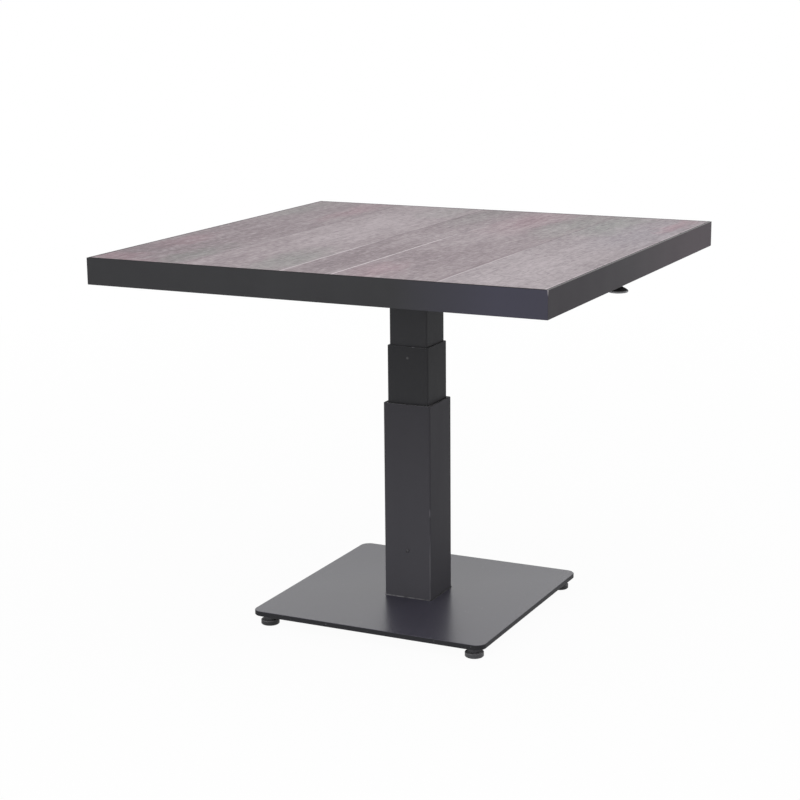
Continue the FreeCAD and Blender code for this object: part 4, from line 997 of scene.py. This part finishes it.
def levelling_stud(low, tip):
    """A stud with a rolled thread, which opens into its flange in one piece."""
    form = bmesh.new()
    tooth = [
        (thread_root, 0),
        (thread_root, 1 / 8),
        (stud_radius, 7 / 16),
        (stud_radius, 9 / 16),
        (thread_root, 7 / 8),
        (thread_root, 1),
    ]
    start = flange_top - thread_pitch
    turns = ceil((tip - start) / thread_pitch) + 1
    points = [form.verts.new((reach, 0, start + share * thread_pitch)) for reach, share in tooth]
    rail = [form.edges.new(pair) for pair in zip(points, points[1:])]
    steps = 32
    bmesh.ops.spin(
        form,
        geom=points + rail,
        cent=(0, 0, 0),
        axis=(0, 0, 1),
        dvec=(0, 0, thread_pitch / steps),
        angle=tau * turns,
        steps=steps * turns,
    )
    bmesh.ops.remove_doubles(form, verts=form.verts, dist=0.000001)
    for height, up in ((flange_top, -1), (tip - 0.001, 1)):
        bmesh.ops.bisect_plane(
            form,
            geom=form.verts[:] + form.edges[:] + form.faces[:],
            plane_co=(0, 0, height),
            plane_no=(0, 0, up),
            clear_outer=True,
        )
    middle = (flange_top + tip) / 2
    open_edges = [edge for edge in form.edges if edge.is_boundary]
    top_ring = [edge for edge in open_edges if edge.verts[0].co.z > middle]
    foot_ring = [edge for edge in open_edges if edge.verts[0].co.z <= middle]
    flange = [
        (flange_radius - 0.0003, flange_top),
        (flange_radius, flange_top - 0.0003),
        (flange_radius, low),
    ]
    for ring, rows in ((top_ring, [(thread_root - 0.0004, tip)]), (foot_ring, flange)):
        for reach, height in rows:
            ring, points = draw_out(form, ring)
            for point in points:
                point.co.xy *= reach / hypot(*point.co.xy)
                point.co.z = height
        bmesh.ops.contextual_create(form, geom=ring)
    bmesh.ops.recalc_face_normals(form, faces=form.faces)
    return form


def glide_plastic(name, body, shine):
    """Moulded plastic, with painted light on its upper face."""
    plastic = Finish(name)
    spark = plastic.grain(0.0008, detail=3, roughness=0.7)
    upper = plastic.span(plastic.axis("Z"), glide_top - 0.0012, glide_top - 0.0002)
    # Painted light: the upper face, in shade under the plate, is made pale in specks.
    painted_light_top = upper * plastic.span(spark, 0.2, 0.5, 0.7, 1)
    plastic.lay(
        Base_Color=plastic.mix(painted_light_top, body, paint(128, 127, 129)),
        Roughness=plastic.span(spark, 0.3, 0.7, 0.38, 0.46) + painted_light_top * 0.3,
        Specular_IOR_Level=shine,
        Normal=plastic.relief(spark, 0.00002),
    )
    return plastic


# Painted light: the front right glide gets a paler copy of the plastic, as if lit.
plain_glide = glide_plastic("foot_plastic", paint(40, 40, 42), 0.3)
lit_glide = glide_plastic("lit_foot_plastic", paint(56, 56, 59), 0.5)
for corner in ("front_left", "front_right", "back_left", "back_right"):
    wear(lit_glide if corner == "front_right" else plain_glide, f"{corner}_foot_pad")
    low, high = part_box(f"{corner}_foot_stud")
    stud = levelling_stud(low.z, high.z)
    centre = (low + high) / 2
    bmesh.ops.translate(stud, verts=stud.verts, vec=(centre.x, centre.y, 0))
    foot = piece(f"{corner}_levelling_stud", stud, zinc_steel)
    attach(foot, f"{corner}_foot")
    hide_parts(f"{corner}_foot_stud")

# ---------------------------------------------------------------- studio
# A white floor in white surroundings, a soft box overhead, one in front and one at the
# right. Camera and mirror rays see plain white, but for a faint shadow round the table.
bpy.context.scene.view_settings.view_transform = "Standard"


def seen_white(finish):
    """One for rays that come from the camera or off a gloss or glass surface."""
    camera, gloss, glass = (
        finish.node("ShaderNodeLightPath", output=f"Is {kind} Ray")
        for kind in ("Camera", "Glossy", "Transmission")
    )
    return finish.span(camera + gloss + glass, 0, 1)


floor_half = 30
floor_finish = Finish("studio_floor")
matt = floor_finish.node("ShaderNodeBsdfDiffuse", {}, {"Color": paint(250, 250, 250)})
white = floor_finish.node("ShaderNodeEmission", {}, {"Strength": 1.0})
far = floor_finish.reach(floor_finish.place, (0, 0, 0), (1, 1, 1))
share = seen_white(floor_finish) * floor_finish.span(far, 1.2, 3.5, 0.96, 1.0)
seen = floor_finish.node("ShaderNodeMixShader", {}, {0: share, 1: matt, 2: white})
floor_finish.node("ShaderNodeOutputMaterial", {}, {"Surface": seen})
sheet = bmesh.new()
bmesh.ops.create_grid(sheet, x_segments=1, y_segments=1, size=floor_half)
floor = piece("floor", sheet, floor_finish)
floor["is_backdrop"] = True

around = Finish("studio", bpy.data.worlds)
bpy.context.scene.world = around.block
glow = around.span(seen_white(around), 0, 1, 0.55, 1.0)
backdrop = around.node("ShaderNodeBackground", {}, {"Color": (1, 1, 1, 1), "Strength": glow})
around.node("ShaderNodeOutputWorld", {}, {"Surface": backdrop})

for name, size, power, spot, aim in (
    ("overhead", 2.6, 24.0, (0.5, -0.7, 2.7), (0.1, -0.1, 0.7)),
    ("front", 1.8, 46.0, (-0.9, -4.0, 0.8), (0.0, 0.0, 0.3)),
    ("right", 1.8, 14.0, (2.5, 1.8, 1.0), (0.2, 0.1, 0.5)),
):
    lamp = bpy.data.lights.new(name, "AREA")
    lamp.shape = "SQUARE"
    lamp.size = size
    lamp.energy = power
    box = bpy.data.objects.new(name, lamp)
    facing = (Vector(spot) - Vector(aim)).to_track_quat("Z", "Y").to_matrix().to_4x4()
    box.matrix_world = Matrix.Translation(spot) @ facing
    bpy.context.scene.collection.objects.link(box)

camera_place = (1.5675, -3.2904, 1.2634)
camera_turn = 0.4539
camera_tilt = 0.2266
camera_roll = -0.0087
camera = bpy.data.objects.new("camera", bpy.data.cameras.new("camera"))
camera.data.lens = 85.79
camera.data.sensor_width = 36.0
camera.matrix_world = (
    Matrix.Translation(camera_place)
    @ Matrix.Rotation(camera_turn, 4, "Z")
    @ Matrix.Rotation(pi / 2 - camera_tilt, 4, "X")
    @ Matrix.Rotation(camera_roll, 4, "Z")
)
bpy.context.scene.collection.objects.link(camera)
bpy.context.scene.camera = camera

# ---------------------------------------------------------------- size
# The two opposite corners of the box round every piece that is shown, in metres,
# as they stand when every piece is made.
low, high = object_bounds()
